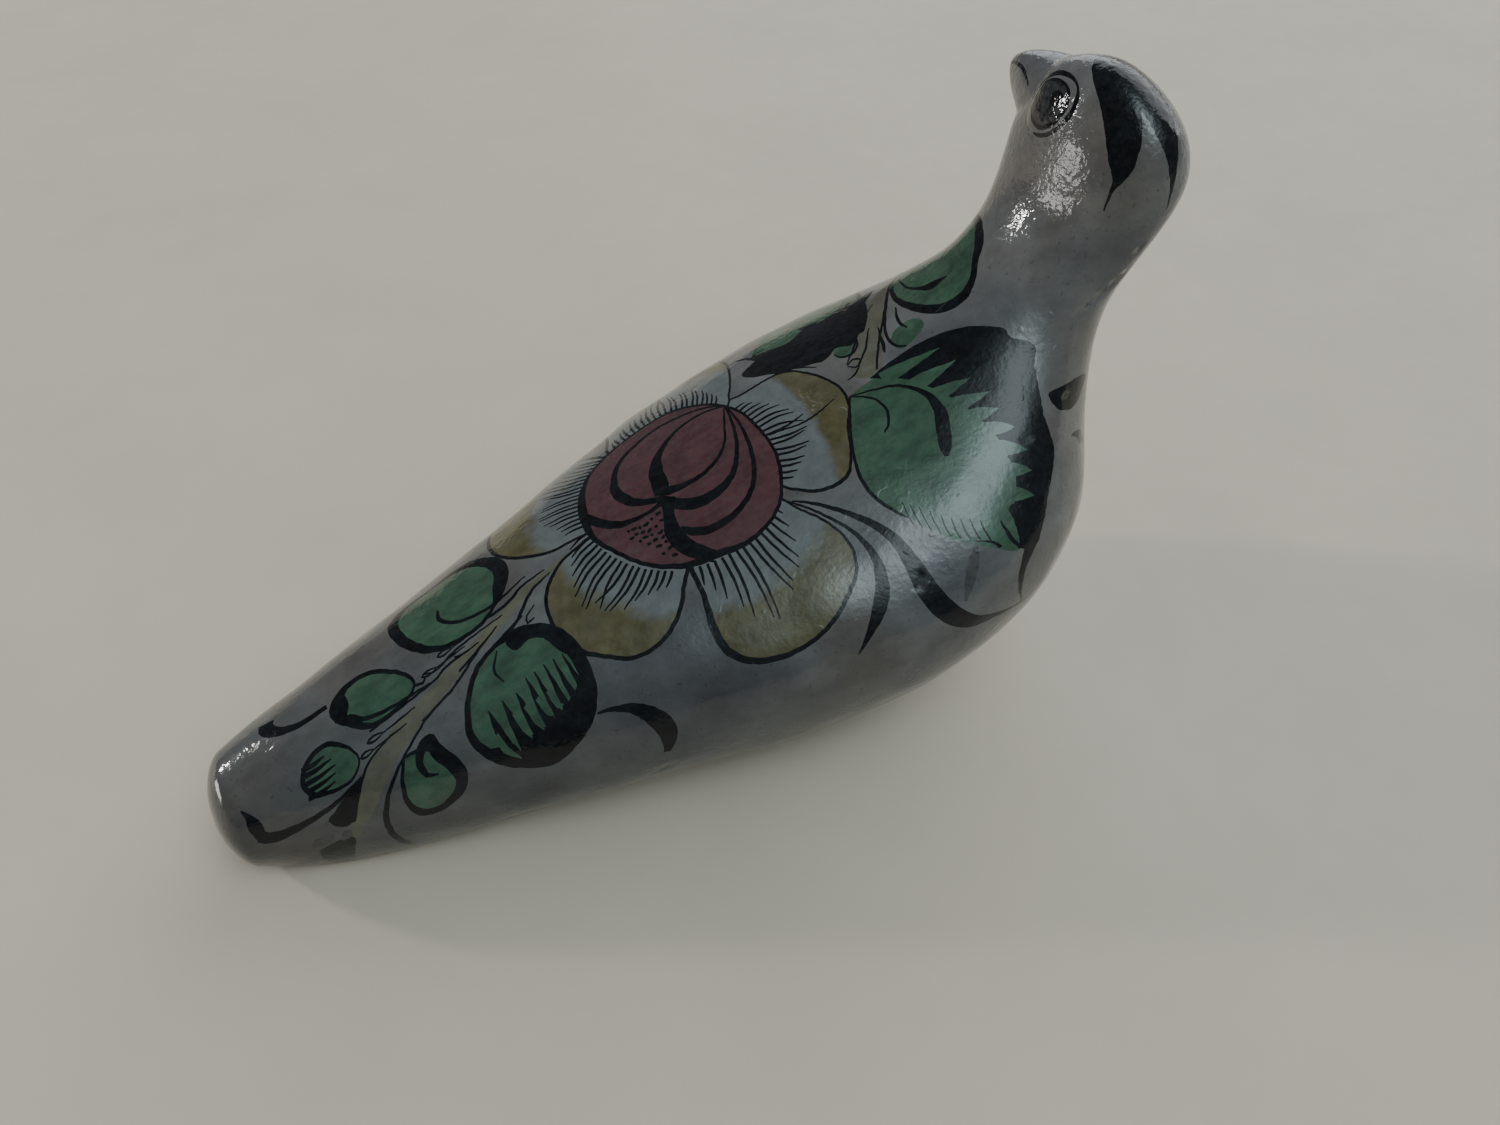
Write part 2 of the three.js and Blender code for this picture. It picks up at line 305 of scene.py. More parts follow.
def surface(m, v, lift=None):
    """Points of the finished surface and their normals. lift is an extra height there."""
    m = np.clip(np.asarray(m, float), END_ROOM, CHART_LENGTH - END_ROOM)
    share = v / np.maximum(girth_at(m) / 2, 1e-6)
    at = np.clip(m, POLE_ROOM, CHART_LENGTH - POLE_ROOM)
    half = girth_at(at) / 2
    turn = np.minimum(FORM_STEP, half * 0.3)
    ahead, behind = at + FORM_STEP, at - FORM_STEP
    along = outer_point(ahead, share * girth_at(ahead) / 2) - outer_point(
        behind, share * girth_at(behind) / 2)
    across = outer_point(at, share * half + turn) - outer_point(at, share * half - turn)
    along, across = unit(along), unit(across)
    normal = unit(np.cross(across, along))
    point = outer_point(m, v)

    def extra(mm, vv):
        return dent_relief(mm, vv) + (lift(mm, vv) if lift else 0)

    height, slope = wave_relief(point)
    height = height + extra(m, v)
    slope_m = (extra(m + RELIEF_STEP, v) - extra(m - RELIEF_STEP, v)) / (2 * RELIEF_STEP)
    slope_v = (extra(m, v + RELIEF_STEP) - extra(m, v - RELIEF_STEP)) / (2 * RELIEF_STEP)
    tilt = slope - (slope * normal).sum(-1, keepdims=True) * normal
    tilt = tilt + slope_m[..., None] * along + slope_v[..., None] * across
    return point + height[..., None] * normal, unit(normal - tilt)


# ---------------------------------------------------------------- outlines in the chart


# How far apart a curve's points are, how wide a brush line is at least, and how far it strays.
LINE_STEP, THINNEST_LINE, SHAKE = 0.7, 0.12, 0.09


def turned(vectors, degrees):
    """Chart vectors turned from the way along towards the way round."""
    c, s = math.cos(math.radians(degrees)), math.sin(math.radians(degrees))
    return vectors @ np.array([[c, s], [-s, c]])


def smooth(points, closed=False):
    """A Catmull-Rom curve through the points. A point given twice makes a corner."""
    p = [np.array(q, float) for q in points]
    p = [p[-1], *p, p[0], p[1]] if closed else [2 * p[0] - p[1], *p, 2 * p[-1] - p[-2]]
    out = []
    for a, b, c, d in zip(p, p[1:], p[2:], p[3:]):
        length = np.hypot(*(c - b)[:2])
        if length < 1e-6:
            continue
        if np.allclose(a, b):
            a = 2 * b - c
        if np.allclose(c, d):
            d = 2 * c - b
        for t in np.arange(0, 1, 1 / max(2, int(length / LINE_STEP))):
            out.append(0.5 * (2 * b + (c - a) * t + (2 * a - 5 * b + 4 * c - d) * t * t
                              + (3 * b - a - 3 * c + d) * t**3))
    if not closed:
        out.append(p[-2])
    return np.array(out)


def hand(points, size=SHAKE):
    """The small unsteadiness of a brush line."""
    m, v = points[:, 0], points[:, 1]
    shake = np.stack([np.sin(1.9 * v + 0.7 * m) + np.sin(4.1 * m), np.sin(2.1 * m - 0.9 * v)
                      + np.sin(3.7 * v)], -1)
    return points[:, :2] + size * 0.5 * shake


def side_ways(points, closed=False):
    """Unit vectors to the left of a line of chart points."""
    if closed:
        run = np.roll(points, -1, 0) - np.roll(points, 1, 0)
    else:
        run = np.gradient(points, axis=0)
    run /= np.maximum(np.hypot(run[:, 0], run[:, 1]), 1e-9)[:, None]
    return np.stack([-run[:, 1], run[:, 0]], -1)


def stroke(points, shake=SHAKE):
    """A brush stroke along (m, v, width) points, as a closed outline."""
    line = smooth(points)
    middle, half = hand(line, shake), np.maximum(line[:, 2], THINNEST_LINE) / 2
    left = side_ways(middle) * half[:, None]
    return np.r_[middle + left, (middle - left)[::-1]]


def ring(points):
    """Outer and inner outlines of a closed brush line along (m, v, width) points."""
    line = smooth(points, closed=True)
    middle = hand(line)
    left = side_ways(middle, closed=True) * (np.maximum(line[:, 2], THINNEST_LINE) / 2)[:, None]
    following = np.roll(middle, -1, 0)
    area = np.sum(middle[:, 0] * following[:, 1] - middle[:, 1] * following[:, 0])
    left = left if area > 0 else -left
    return middle - left, middle + left


def patch(points):
    """The closed outline of a filled shape."""
    return hand(smooth([(*p, 0) for p in points], closed=True))


def moved(outline, origin, turn, scale, about):
    """An outline turned and scaled about a chart point, then carried to another one."""
    return turned((outline - np.array(about)) * scale, turn) + np.array(origin)


# ---------------------------------------------------------------- skins


def winding(points, outline):
    """Whether each chart point is inside a closed outline."""
    low, high = outline.min(0), outline.max(0)
    near = np.all((points > low) & (points < high), axis=1)
    result = np.zeros(len(points), bool)
    if not near.any():
        return result
    p = points[near]
    a, b = outline, np.roll(outline, -1, 0)
    count = np.zeros(len(p), int)
    for (x0, y0), (x1, y1) in zip(a, b):
        if y0 == y1:
            continue
        up, down = (y0 <= p[:, 1]) & (y1 > p[:, 1]), (y1 <= p[:, 1]) & (y0 > p[:, 1])
        cross = x0 + (p[:, 1] - y0) * (x1 - x0) / (y1 - y0)
        count += (up & (cross > p[:, 0])).astype(int) - (down & (cross > p[:, 0])).astype(int)
    result[near] = count != 0
    return result


def hexagons(low, high, spacing):
    """Points in staggered rows, as far apart as the spacing."""
    rows = np.arange(low[1], high[1], spacing * 0.866)
    out = []
    for k, y in enumerate(rows):
        x = np.arange(low[0] + (k % 2) * spacing / 2, high[0], spacing)
        out.append(np.stack([x, np.full(len(x), y)], -1))
    return np.concatenate(out) if out else np.zeros((0, 2))


def loop_edges(count, first=0):
    """Edges that close a loop of points."""
    return [(first + i, first + (i + 1) % count) for i in range(count)]


def split(points, edges, reach, inputs):
    """Chart points and triangles that keep the edges, and which points each one came from."""
    verts, _, faces, sources, *_ = delaunay_2d_cdt(points, edges, [], 0, reach, inputs)
    return np.array([tuple(p) for p in verts]), np.array([f for f in faces if len(f) == 3]), sources


def triangulate(region, shapes, spacing):
    """Chart points, triangles, and the paint of each triangle, with the shapes' edges kept."""
    low, high = region.min(0), region.max(0)
    shapes = [(paint, outline) for paint, outline in shapes
              if np.all(outline.max(0) > low) and np.all(outline.min(0) < high)]
    grid = hexagons(low, high, spacing)
    grid = grid[winding(grid, region)]
    chains = [region] + [outline for _, outline in shapes]
    points, edges = [], []
    for chain in chains:
        first = len(points)
        points.extend(map(Vector, chain))
        edges.extend(loop_edges(len(chain), first))
    points.extend(map(Vector, grid))
    chart, tris, _ = split(points, edges, 1e-4, False)
    middle = chart[tris].mean(1)
    tris, middle = tris[winding(middle, region)], middle[winding(middle, region)]
    paint = np.zeros(len(tris), int)
    for index, outline in shapes:
        paint[winding(middle, outline)] = index
    used = np.unique(tris)
    again = np.full(len(chart), -1)
    again[used] = np.arange(len(used))
    return chart[used], again[tris], paint


def open_edges(tris):
    """Directed edges that only one triangle has."""
    edges = np.concatenate([tris[:, [0, 1]], tris[:, [1, 2]], tris[:, [2, 0]]])
    keys = set(map(tuple, edges))
    return [tuple(e) for e in edges if (e[1], e[0]) not in keys]


# Points closer than this are one point, in millimetres: on the painted face and on the inner one.
JOIN_REACH, INNER_JOIN_REACH = 0.012, 0.05


def joined(points, reach=JOIN_REACH):
    """For each point, the first one that lies in the same place."""
    tree = KDTree(len(points))
    for k, point in enumerate(points):
        tree.insert(point, k)
    tree.balance()
    first = np.arange(len(points))
    for k, point in enumerate(points):
        first[k] = min(first[other] for _, other, _ in tree.find_range(point, reach))
    return first


def chart_loop(tris):
    """The boundary of the triangulated region, in order."""
    following = dict(open_edges(tris))
    start = min(following)
    loop, at = [start], following[start]
    while at != start:
        loop.append(at)
        at = following[at]
    return loop


def face_ways(points, tris):
    """The way each triangle faces, as long as twice its area."""
    a, b, c = (points[tris[:, k]] for k in range(3))
    return np.cross(b - a, c - a)


def skin_data(region, shapes, inner, place=surface, spacing=1.5):
    """Vertices, faces, normals and paints of a closed body: its painted face, which place puts
    on the form, its hidden face, which inner does, and the rim between them."""
    chart, tris, paint = triangulate(region, shapes, spacing)
    points, normals = place(chart[:, 0], chart[:, 1])
    backward = (face_ways(points, tris) * normals[tris[:, 0]]).sum() < 0
    loop = chart_loop(tris)
    inner_chart, inner_tris, inner_of = inner_patch(chart[loop])
    inner_points = inner(inner_chart[:, 0], inner_chart[:, 1])
    if backward:
        tris = tris[:, ::-1]
    else:
        inner_tris = inner_tris[:, ::-1]
    same = joined(points)
    inner_same = joined(inner_points, INNER_JOIN_REACH) + len(points)
    outside, whole = without_slivers(same[tris])
    inside, _ = without_slivers(inner_same[inner_tris])
    to_inner = {same[a]: inner_same[inner_of[k]] for k, a in enumerate(loop)}
    rims = []
    for a, b in open_edges(outside):
        rim = [b, a, to_inner[a], to_inner[b]]
        rims.append(rim if rim[2] != rim[3] else rim[:3])
    return points, inner_points, outside, tris[whole], inside, rims, paint[whole], normals, chart


def without_slivers(tris):
    """Triangles without the flat ones, and without pairs that lie back to back."""
    whole = (tris[:, 0] != tris[:, 1]) & (tris[:, 1] != tris[:, 2]) & (tris[:, 0] != tris[:, 2])
    _, which, copies = np.unique(np.sort(tris, axis=1), axis=0, return_inverse=True,
                                 return_counts=True)
    whole &= copies[which.ravel()] == 1
    return tris[whole], whole


# How far apart the points of a hidden face are.
INNER_SPACING = 6.0


def inner_patch(boundary):
    """A coarse triangulation of a chart region that keeps its boundary points."""
    grid = hexagons(boundary.min(0), boundary.max(0), INNER_SPACING)
    grid = grid[winding(grid, boundary)]
    if len(grid):
        gap = np.min(np.linalg.norm(grid[:, None] - boundary[None], axis=2), 1)
        grid = grid[gap > INNER_SPACING * 0.35]
    points = [*map(Vector, boundary), *map(Vector, grid)]
    chart, tris, sources = split(points, loop_edges(len(boundary)), 1e-7, True)
    tris = tris[winding(chart[tris].mean(1), boundary)]
    place = {old: new for new, olds in enumerate(sources) for old in olds}
    return chart, tris, [place[i] for i in range(len(boundary))]


# How many faces at the start of each skin are its painted ones.
PAINTED_FACES = {}


def placed(name, data):
    """A new object in the scene."""
    thing = bpy.data.objects.new(name, data)
    bpy.context.scene.collection.objects.link(thing)
    return thing


def build_skin(name, data):
    """A Blender object from skin_data, with exact normals on its painted side."""
    points, inner_points, outside, raw, inside, rims, paint, normals, chart = data
    everything = np.concatenate([points, inner_points]) + SHIFT
    faces = [tuple(map(int, f)) for f in (*outside, *inside, *rims)]
    mesh = bpy.data.meshes.new(name)
    mesh.from_pydata((everything * MM).tolist(), [], faces)
    for material in PAINTS:
        mesh.materials.append(material)
    slots = np.zeros(len(faces), np.int32)
    slots[: len(paint)] = paint
    slots[len(paint):] = PAINTS.index(RAW)
    mesh.polygons.foreach_set("material_index", slots)
    mesh.polygons.foreach_set("use_smooth", np.ones(len(faces), bool))
    ochre = np.zeros(len(everything), np.float32)
    ochre[: len(chart)] = wash(chart)
    mesh.attributes.new("wash", "FLOAT", "POINT").data.foreach_set("value", ochre)
    corner = np.zeros((len(mesh.loops), 3))
    corner[: 3 * len(outside)] = normals[raw.ravel()]
    flat = np.repeat(unit(face_ways(everything, inside)), 3, 0)
    corner[3 * len(outside): 3 * (len(outside) + len(inside))] = flat
    start = 3 * (len(outside) + len(inside))
    for rim in rims:
        a, b, c = everything[rim[0]], everything[rim[1]], everything[rim[-1]]
        corner[start: start + len(rim)] = unit(np.cross(b - a, c - a))
        start += len(rim)
    mesh.normals_split_custom_set(corner.tolist())
    PAINTED_FACES[name] = len(outside)
    return placed(name, mesh)


# The flower's middle in the chart, and its half sizes along it and round it.
FLOWER, FLOWER_HALF = np.array([119.0, -3.0]), (23.0, 22.0)


def wash(chart):
    """How ochre a petal is: 0 is grey-blue beside the flower and 1 is ochre at the outer edge."""
    away = chart - FLOWER
    reach = np.hypot(away[:, 0] / FLOWER_HALF[0], away[:, 1] / FLOWER_HALF[1])
    turn = np.degrees(np.arctan2(away[:, 1], away[:, 0]))
    # How far out the ochre starts on each side of the flower, as a share of its radius.
    start = np.interp(turn, [-180, -150, -100, -60, -30, 0, 30, 60, 85, 110, 150, 180],
                      [1.45, 1.55, 1.7, 1.75, 1.75, 1.9, 1.75, 1.55, 1.5, 1.45, 1.4, 1.45])
    return np.clip((reach - start) / 0.35 + 0.5, 0, 1)


# ---------------------------------------------------------------- regions


# How far apart the points along a region's edge are.
EDGE_STEP = 1.2


def along_line(points):
    """Points along straight chart lines, closely spaced."""
    out = []
    for a, b in zip(points, points[1:]):
        a, b = np.array(a, float), np.array(b, float)
        count = max(1, int(np.hypot(*(b - a)) / EDGE_STEP))
        out.extend(a + (b - a) * k / count for k in range(count))
    out.append(np.array(points[-1], float))
    return np.array(out)


def belly_line(m_from, m_to, side, step=EDGE_STEP):
    """Chart points along the belly, where the right and left sides of the chart meet."""
    count = max(2, int(abs(m_to - m_from) / step))
    return part_way(np.linspace(m_from, m_to, count), side / 2)


# Steps in a quarter of the neck joint, and points along half the tail joint and up the head.
NECK_STEPS, TAIL_POINTS, HEAD_POINTS = 24, 60, 60
NECK_M = float(np.interp(NECK_JOINT_PATH, ROW_PATH, ROW_M))


def tail_joint_line(side):
    """Chart points of the tail joint's plane, from the ridge to the belly."""
    out = []
    # The plane crosses the chart somewhere between the first and the last of these places.
    tries = np.linspace(30, 60, 400)
    for share in np.linspace(0, side / 2, TAIL_POINTS):
        x = outer_point(*part_way(tries, share).T)[:, 0]
        out.append(part_way(np.interp(TAIL_JOINT_X, x, tries), share))
    return np.array(out)


def neck_line(start, end, count):
    """Chart points of the neck joint between two shares of the way round."""
    return part_way(np.full(count + 1, NECK_M), np.linspace(start, end, count + 1))


def body_region(side):
    joint, neck = tail_joint_line(side), neck_line(0, side / 2, 2 * NECK_STEPS)
    ridge = along_line([joint[0], neck[0]])
    belly = belly_line(neck[-1][0], joint[-1][0], side)
    return np.concatenate([ridge[:-1], neck[:-1], belly[:-1], joint[::-1][:-1]])


def head_region():
    """The head's skin is cut along the line under the beak, a quarter of the way round."""
    neck = neck_line(-0.25, 0.75, 4 * NECK_STEPS)
    m = np.linspace(NECK_M, CHART_LENGTH, HEAD_POINTS)
    up, down = part_way(m, 0.75), part_way(m, -0.25)[::-1]
    return np.concatenate([neck[:-1], up[:-1], down[:-1]])


def tail_region():
    right, left = tail_joint_line(1), tail_joint_line(-1)
    down = belly_line(right[-1][0], 0, 1, 0.8)
    up = belly_line(0, left[-1][0], -1, 0.8)
    return np.concatenate([left[::-1][:-1], right[:-1], down[:-1], up[:-1]])


# ---------------------------------------------------------------- looks


class Look:
    """A node material in the making. Sizes of its patterns are in millimetres."""

    def __init__(self, name):
        self.material = bpy.data.materials.new(name)
        self.material.use_nodes = True
        self.tree = self.material.node_tree
        self.shader = self.tree.nodes["Principled BSDF"]
        self.coords = self.node("TexCoord").outputs["Object"]

    def node(self, kind, **settings):
        node = self.tree.nodes.new("ShaderNode" + kind)
        for key, value in settings.items():
            setattr(node, key, value)
        return node

    def put(self, socket, value):
        if isinstance(value, bpy.types.NodeSocket):
            self.tree.links.new(value, socket)
        else:
            socket.default_value = value

    def shade(self, name, value):
        """Give one of the shader's own sockets a number or a link."""
        self.put(self.shader.inputs[name], value)

    def noise(self, size, detail=3.0, roughness=0.55, stretch=None, offset=0.0):
        node = self.node("TexNoise")
        mapping = self.node("Mapping")
        mapping.inputs["Location"].default_value = (offset, 0.7 * offset, -offset)
        if stretch:
            mapping.inputs["Scale"].default_value = stretch
        self.put(mapping.inputs["Vector"], self.coords)
        self.put(node.inputs["Vector"], mapping.outputs["Vector"])
        node.inputs["Scale"].default_value = 1 / (size * MM)
        node.inputs["Detail"].default_value = detail
        node.inputs["Roughness"].default_value = roughness
        return node.outputs["Fac"]

    def ramp(self, value, *stops):
        """A ramp through stops of a place and a grey level or a colour."""
        node = self.node("ValToRGB")
        ramp = node.color_ramp
        while len(ramp.elements) < len(stops):
            ramp.elements.new(0.5)
        for element, (place, colour) in zip(ramp.elements, stops):
            element.position = place
            element.color = (*(colour if isinstance(colour, tuple) else (colour,) * 3), 1)
        self.put(node.inputs["Fac"], value)
        return node.outputs["Color"]

    def mix(self, share, a, b, kind="MIX"):
        node = self.node("Mix", data_type="RGBA", blend_type=kind)
        self.put(node.inputs["Factor"], share)
        self.put(node.inputs[6], a)
        self.put(node.inputs[7], b)
        return node.outputs[2]

    def math(self, operation, a, b=0.0):
        node = self.node("Math", operation=operation)
        self.put(node.inputs[0], a)
        self.put(node.inputs[1], b)
        return node.outputs[0]

    def bump(self, height, depth, after=None, share=None):
        """A bump whose full height is depth, in millimetres, or a share of it."""
        node = self.node("Bump")
        if share:
            self.put(node.inputs["Strength"], share)
        node.inputs["Distance"].default_value = depth * MM
        self.put(node.inputs["Height"], height)
        if after:
            self.put(node.inputs["Normal"], after)
        return node.outputs["Normal"]

    def attribute(self, name):
        return self.node("Attribute", attribute_name=name).outputs["Fac"]

    def height(self):
        node = self.node("SeparateXYZ")
        self.put(node.inputs[0], self.coords)
        return node.outputs["Z"]


CLAY_WARM, CLAY_PALE = (0.089, 0.081, 0.075), (0.099, 0.099, 0.098)
CLAY_COOL = (0.068, 0.068, 0.073)
# Painted shade darkens the clay near the table, and painted light lightens it higher up; the change
# runs up to this height in metres.
CLAY_SHADE_HEIGHT = 1 / 12


def clay_colour(look):
    """Smoked grey clay: warm and violet clouds, cloudy burnishing and fine dark specks, with
    painted shade low down and painted light higher up.
    """
    clouds = look.ramp(look.noise(34, 2, 0.6, offset=0.31), (0.36, CLAY_WARM), (0.50, CLAY_PALE),
                       (0.64, CLAY_COOL))
    smoke = look.ramp(look.noise(11, 4, 0.6, offset=0.11), (0.30, 0.72), (0.72, 1.18))
    colour = look.mix(1.0, clouds, smoke, "MULTIPLY")
    strokes = look.ramp(look.noise(3.4, 3, 0.6, stretch=(0.22, 1, 1)), (0.3, 0.88), (0.7, 1.08))
    colour = look.mix(1.0, colour, strokes, "MULTIPLY")
    # Painted shade and light: the colour is darker near the table and lighter higher up, by height
    # alone.
    low = look.ramp(look.math("MULTIPLY", look.height(), 1 / CLAY_SHADE_HEIGHT),
                    (0.0, 0.45), (0.34, 0.80), (1.0, 1.15))
    colour = look.mix(1.0, colour, low, "MULTIPLY")
    specks = look.ramp(look.noise(0.9, 2, 0.5, offset=0.5), (0.64, 1.0), (0.72, 0.7))
    return look.mix(1.0, colour, specks, "MULTIPLY")


def varnish(look, shine=(0.08, 0.17)):
    """The clear lacquer: uneven gloss, its orange peel, and the burnisher's flats under it."""
    look.shade("Roughness", look.ramp(look.noise(7, 4, 0.65, offset=0.2), (0.32, shine[0]),
                                      (0.68, shine[1])))
    flats = look.bump(look.noise(8.5, 1, 0.4, stretch=(0.6, 1, 1)), 0.32)
    # The peel has its full depth only on the head, above 0.105 m.
    head_share = look.ramp(look.math("MULTIPLY", look.height(), 8.0), (0.68, 0.42), (0.84, 1.0))
    peel = look.bump(look.noise(1.2, 2, 0.5, offset=0.9), 0.17, flats, head_share)
    dust = look.ramp(look.noise(2.3, 0, 0.5, offset=0.4), (0.74, 0.0), (0.80, 1.0))
    look.shade("Normal", look.bump(dust, 0.03, peel))
    look.shade("IOR", 1.5)


def burnished_clay():
    look = Look("burnished_clay")
    look.shade("Base Color", clay_colour(look))
    varnish(look)
    return look.material


def slip_paint(name, thin, thick, cover, size=2.6, specular=0.5):
    """A brushed slip: streaks from thin to thick colour, with the clay showing where it is thin."""
    look = Look(name)
    streaks = look.noise(size, 4, 0.62, stretch=(0.45, 1.0, 1.0), offset=0.7)
    colour = look.ramp(streaks, (0.34, thin), (0.62, thick))
    pools = look.ramp(look.noise(6, 2, 0.5, offset=0.15), (0.3, 0.85), (0.7, 1.15))
    colour = look.mix(1.0, colour, pools, "MULTIPLY")
    covered = look.ramp(look.noise(1.2, 3, 0.6, offset=0.6), (0.3, cover[0]), (0.6, cover[1]))
    look.shade("Base Color", look.mix(covered, clay_colour(look), colour))
    look.shade("Specular IOR Level", specular)
    varnish(look, (0.06, 0.14))
    return look.material


def petal_slip():
    """The petals' slip: grey-blue beside the flower, with a ragged change to ochre."""
    look = Look("petal_slip")
    ragged = look.math("SUBTRACT", look.noise(3.2, 4, 0.65), 0.5)
    outer = look.math("ADD", look.attribute("wash"), look.math("MULTIPLY", ragged, 0.8))
    ochre = look.ramp(look.noise(4, 4, 0.65, offset=0.3), (0.34, (0.046, 0.041, 0.015)),
                      (0.66, (0.088, 0.078, 0.038)))
    blue = look.ramp(look.noise(3, 4, 0.65, offset=0.8), (0.34, (0.080, 0.089, 0.091)),
                     (0.66, (0.108, 0.119, 0.122)))
    both = look.mix(look.ramp(outer, (0.22, 0.0), (0.62, 1.0)), blue, ochre)
    covered = look.ramp(look.noise(9, 3, 0.6, offset=0.45), (0.3, 0.72), (0.6, 0.96))
    look.shade("Base Color", look.mix(covered, clay_colour(look), both))
    varnish(look)
    return look.material


def matt_clay(name, grain, dark, pale, rough, pits, depth):
    """Clay without varnish, from the size of its grain and pits, its colours and roughness."""
    look = Look(name)
    look.shade("Base Color", look.ramp(look.noise(grain, 5, 0.7), (0.3, dark), (0.7, pale)))
    look.shade("Roughness", look.ramp(look.noise(2, 3), (0.3, rough[0]), (0.7, rough[1])))
    look.shade("Normal", look.bump(look.noise(pits, 4, 0.7), depth))
    return look.material


CLAY = burnished_clay()
BLACK = slip_paint("black_slip", (0.0045, 0.0065, 0.008), (0.0014, 0.0018, 0.0026), (0.94, 1.0),
                   specular=0.3)
GREEN = slip_paint("green_slip", (0.020, 0.047, 0.029), (0.034, 0.078, 0.047), (0.76, 1.0))
PETAL = petal_slip()
MAROON = slip_paint("maroon_slip", (0.047, 0.018, 0.022), (0.066, 0.027, 0.032), (0.80, 1.0))
STEM = slip_paint("stem_slip", (0.066, 0.064, 0.046), (0.090, 0.086, 0.058), (0.55, 0.95))
# Bare is the pale clay where the varnish has worn off an edge, and raw the clay of the hollow and
# of every cut.
BARE = matt_clay("bare_clay", 1.1, (0.16, 0.125, 0.09), (0.36, 0.30, 0.22), (0.68, 0.92), 0.5, 0.05)
RAW = matt_clay("raw_clay", 1.4, (0.075, 0.07, 0.062), (0.145, 0.135, 0.12), (0.7, 0.95), 0.7, 0.07)
THIN = slip_paint("thin_slip", (0.022, 0.022, 0.024), (0.045, 0.044, 0.048), (0.45, 0.9))
EYE = slip_paint("eye_slip", (0.030, 0.032, 0.036), (0.0035, 0.004, 0.005), (0.75, 1.0), 1.1)
PAINTS = [CLAY, BLACK, GREEN, PETAL, MAROON, STEM, BARE, THIN, EYE, RAW]

# ---------------------------------------------------------------- painting

# Places in PAINTS: black, green, petal, maroon, stem, worn bare, thin black, and the eye's slip.
K, G, P, R, S, W, T, E = range(1, 9)
# Each painted shape is (paint, outline in the chart), and a later one lies over an earlier one.
PAINTING = []


def fill(paint, *points):
    PAINTING.append((paint, patch(points)))


def brush(*points, paint=K, shake=SHAKE):
    PAINTING.append((paint, stroke(points, shake)))


def outlined(paint, *points):
    """A shape filled with one paint, with a black line along (m, v, width) points."""
    outside, inside = ring(points)
    PAINTING.extend([(K, outside), (paint, inside)])


def mirrored(shapes, shift):
    """The same shapes on the other side of the ridge."""
    return [(paint, np.stack([o[:, 0], shift - o[:, 1]], -1)[::-1]) for paint, o in shapes]


def flower_rim(angle):
    """A point of the flower's rim. Angle 0 points to the breast and 90 to the bird's right."""
    t = math.radians(angle)
    return FLOWER + np.array([FLOWER_HALF[0] * math.cos(t), FLOWER_HALF[1] * math.sin(t)])


# How much the lashes of a row spread less than the rim's own angles.
LASH_SPLAY = 0.35


def lashes(start, end, count, lengths, bend):
    """Fine strokes from the rim. lengths are spread evenly from the first lash to the last."""
    middle = (start + end) / 2
    for k in range(count):
        share = k / (count - 1)
        angle = start + (end - start) * share
        length = np.interp(share, np.linspace(0, 1, len(lengths)), lengths)
        length *= 1 + 0.1 * math.sin(5.3 * k)
        root = flower_rim(angle)
        heading = math.radians(angle - (angle - middle) * LASH_SPLAY + 2.5 * math.sin(2.9 * k))
        bent = heading + math.radians(bend * (1 if angle < middle else -1))
        mid = root + 0.5 * length * np.array([math.cos(heading), math.sin(heading)])
        tip = mid + 0.5 * length * np.array([math.cos(bent), math.sin(bent)])
        width = 0.62 + 0.08 * math.sin(3.1 * k)
        brush((*root, width), (*mid, width), (*tip, 0.28), shake=0.05)


def paint_petals():
    """The five petals."""
    outlined(P, (111.5, 14, 1), (110, 23.5, 1.1), (109, 29.3, 1.6), (109.7, 34.3, 1.5),
             (112.9, 38.2, 1.2), (118, 40.7, 1.1), (124.3, 41.6, 0.9), (130.7, 40.4, 0.9),
             (136.5, 37.6, 0.9), (140.8, 34.8, 0.8), (143, 31, 0.9), (142.8, 27, 0.8),
             (140.7, 22.9, 0.7), (137, 18.5, 0.6), (133, 13, 0.6), (122, 8, 0.6))
    outlined(P, (136, 11, 0.7), (141.4, 16.1, 0.8), (146.5, 18.1, 0.8), (152.1, 18.6, 0.8),
             (157.3, 17.8, 0.8), (163, 14.2, 0.7), (168.6, 8.9, 0.7), (173.4, 5, 0.8),
             (175.2, 0, 0.8), (173.6, -5, 0.8), (170, -9.6, 0.8), (164.5, -13.2, 0.7),
             (155.7, -14.6, 0.7), (146, -14.6, 0.7), (138, -14.2, 0.6), (130, -4, 0.6))
    outlined(P, (110, 15, 0.8), (107.1, 20, 0.9), (104.3, 23.6, 0.9), (100.7, 25.8, 0.9),
             (96.4, 26.6, 0.8), (92, 25.5, 0.8), (88.4, 22.9, 0.8), (85, 20.2, 0.9),
             (82.3, 15.8, 0.9), (81.4, 11.4, 0.8), (82.2, 7.1, 0.8), (84.8, 3.6, 0.8),
             (88.6, 0.8, 0.7), (92.5, -0.2, 0.7), (98, -0.6, 0.7), (106, 6, 0.7))
    outlined(P, (98, -2.6, 0.7), (92, -2.7, 0.7), (87.5, -3.2, 0.8), (83.5, -5, 0.9),
             (79.8, -7.7, 0.9), (77.6, -11.4, 0.9), (77.1, -15.7, 0.9), (78, -20, 0.8),
             (80, -25.7, 0.8), (84, -31.3, 1.0), (90, -34.8, 1.2), (97, -35.6, 1.2),
             (103, -32.8, 1.0), (106.2, -28, 0.8), (108.5, -20, 0.8), (104, -8, 0.8))
    outlined(P, (137, -12.5, 0.6), (142.5, -17.4, 0.7), (146, -22.2, 0.8), (148.6, -27.5, 0.9),
             (149.4, -33.5, 1.0), (146.6, -41, 1.2), (139, -46.8, 1.4), (129, -48.3, 1.2),
             (119.5, -44.6, 1.0), (114.3, -37.5, 0.9), (111.8, -30, 0.8), (110.3, -22, 0.7),
             (120, -12, 0.7))


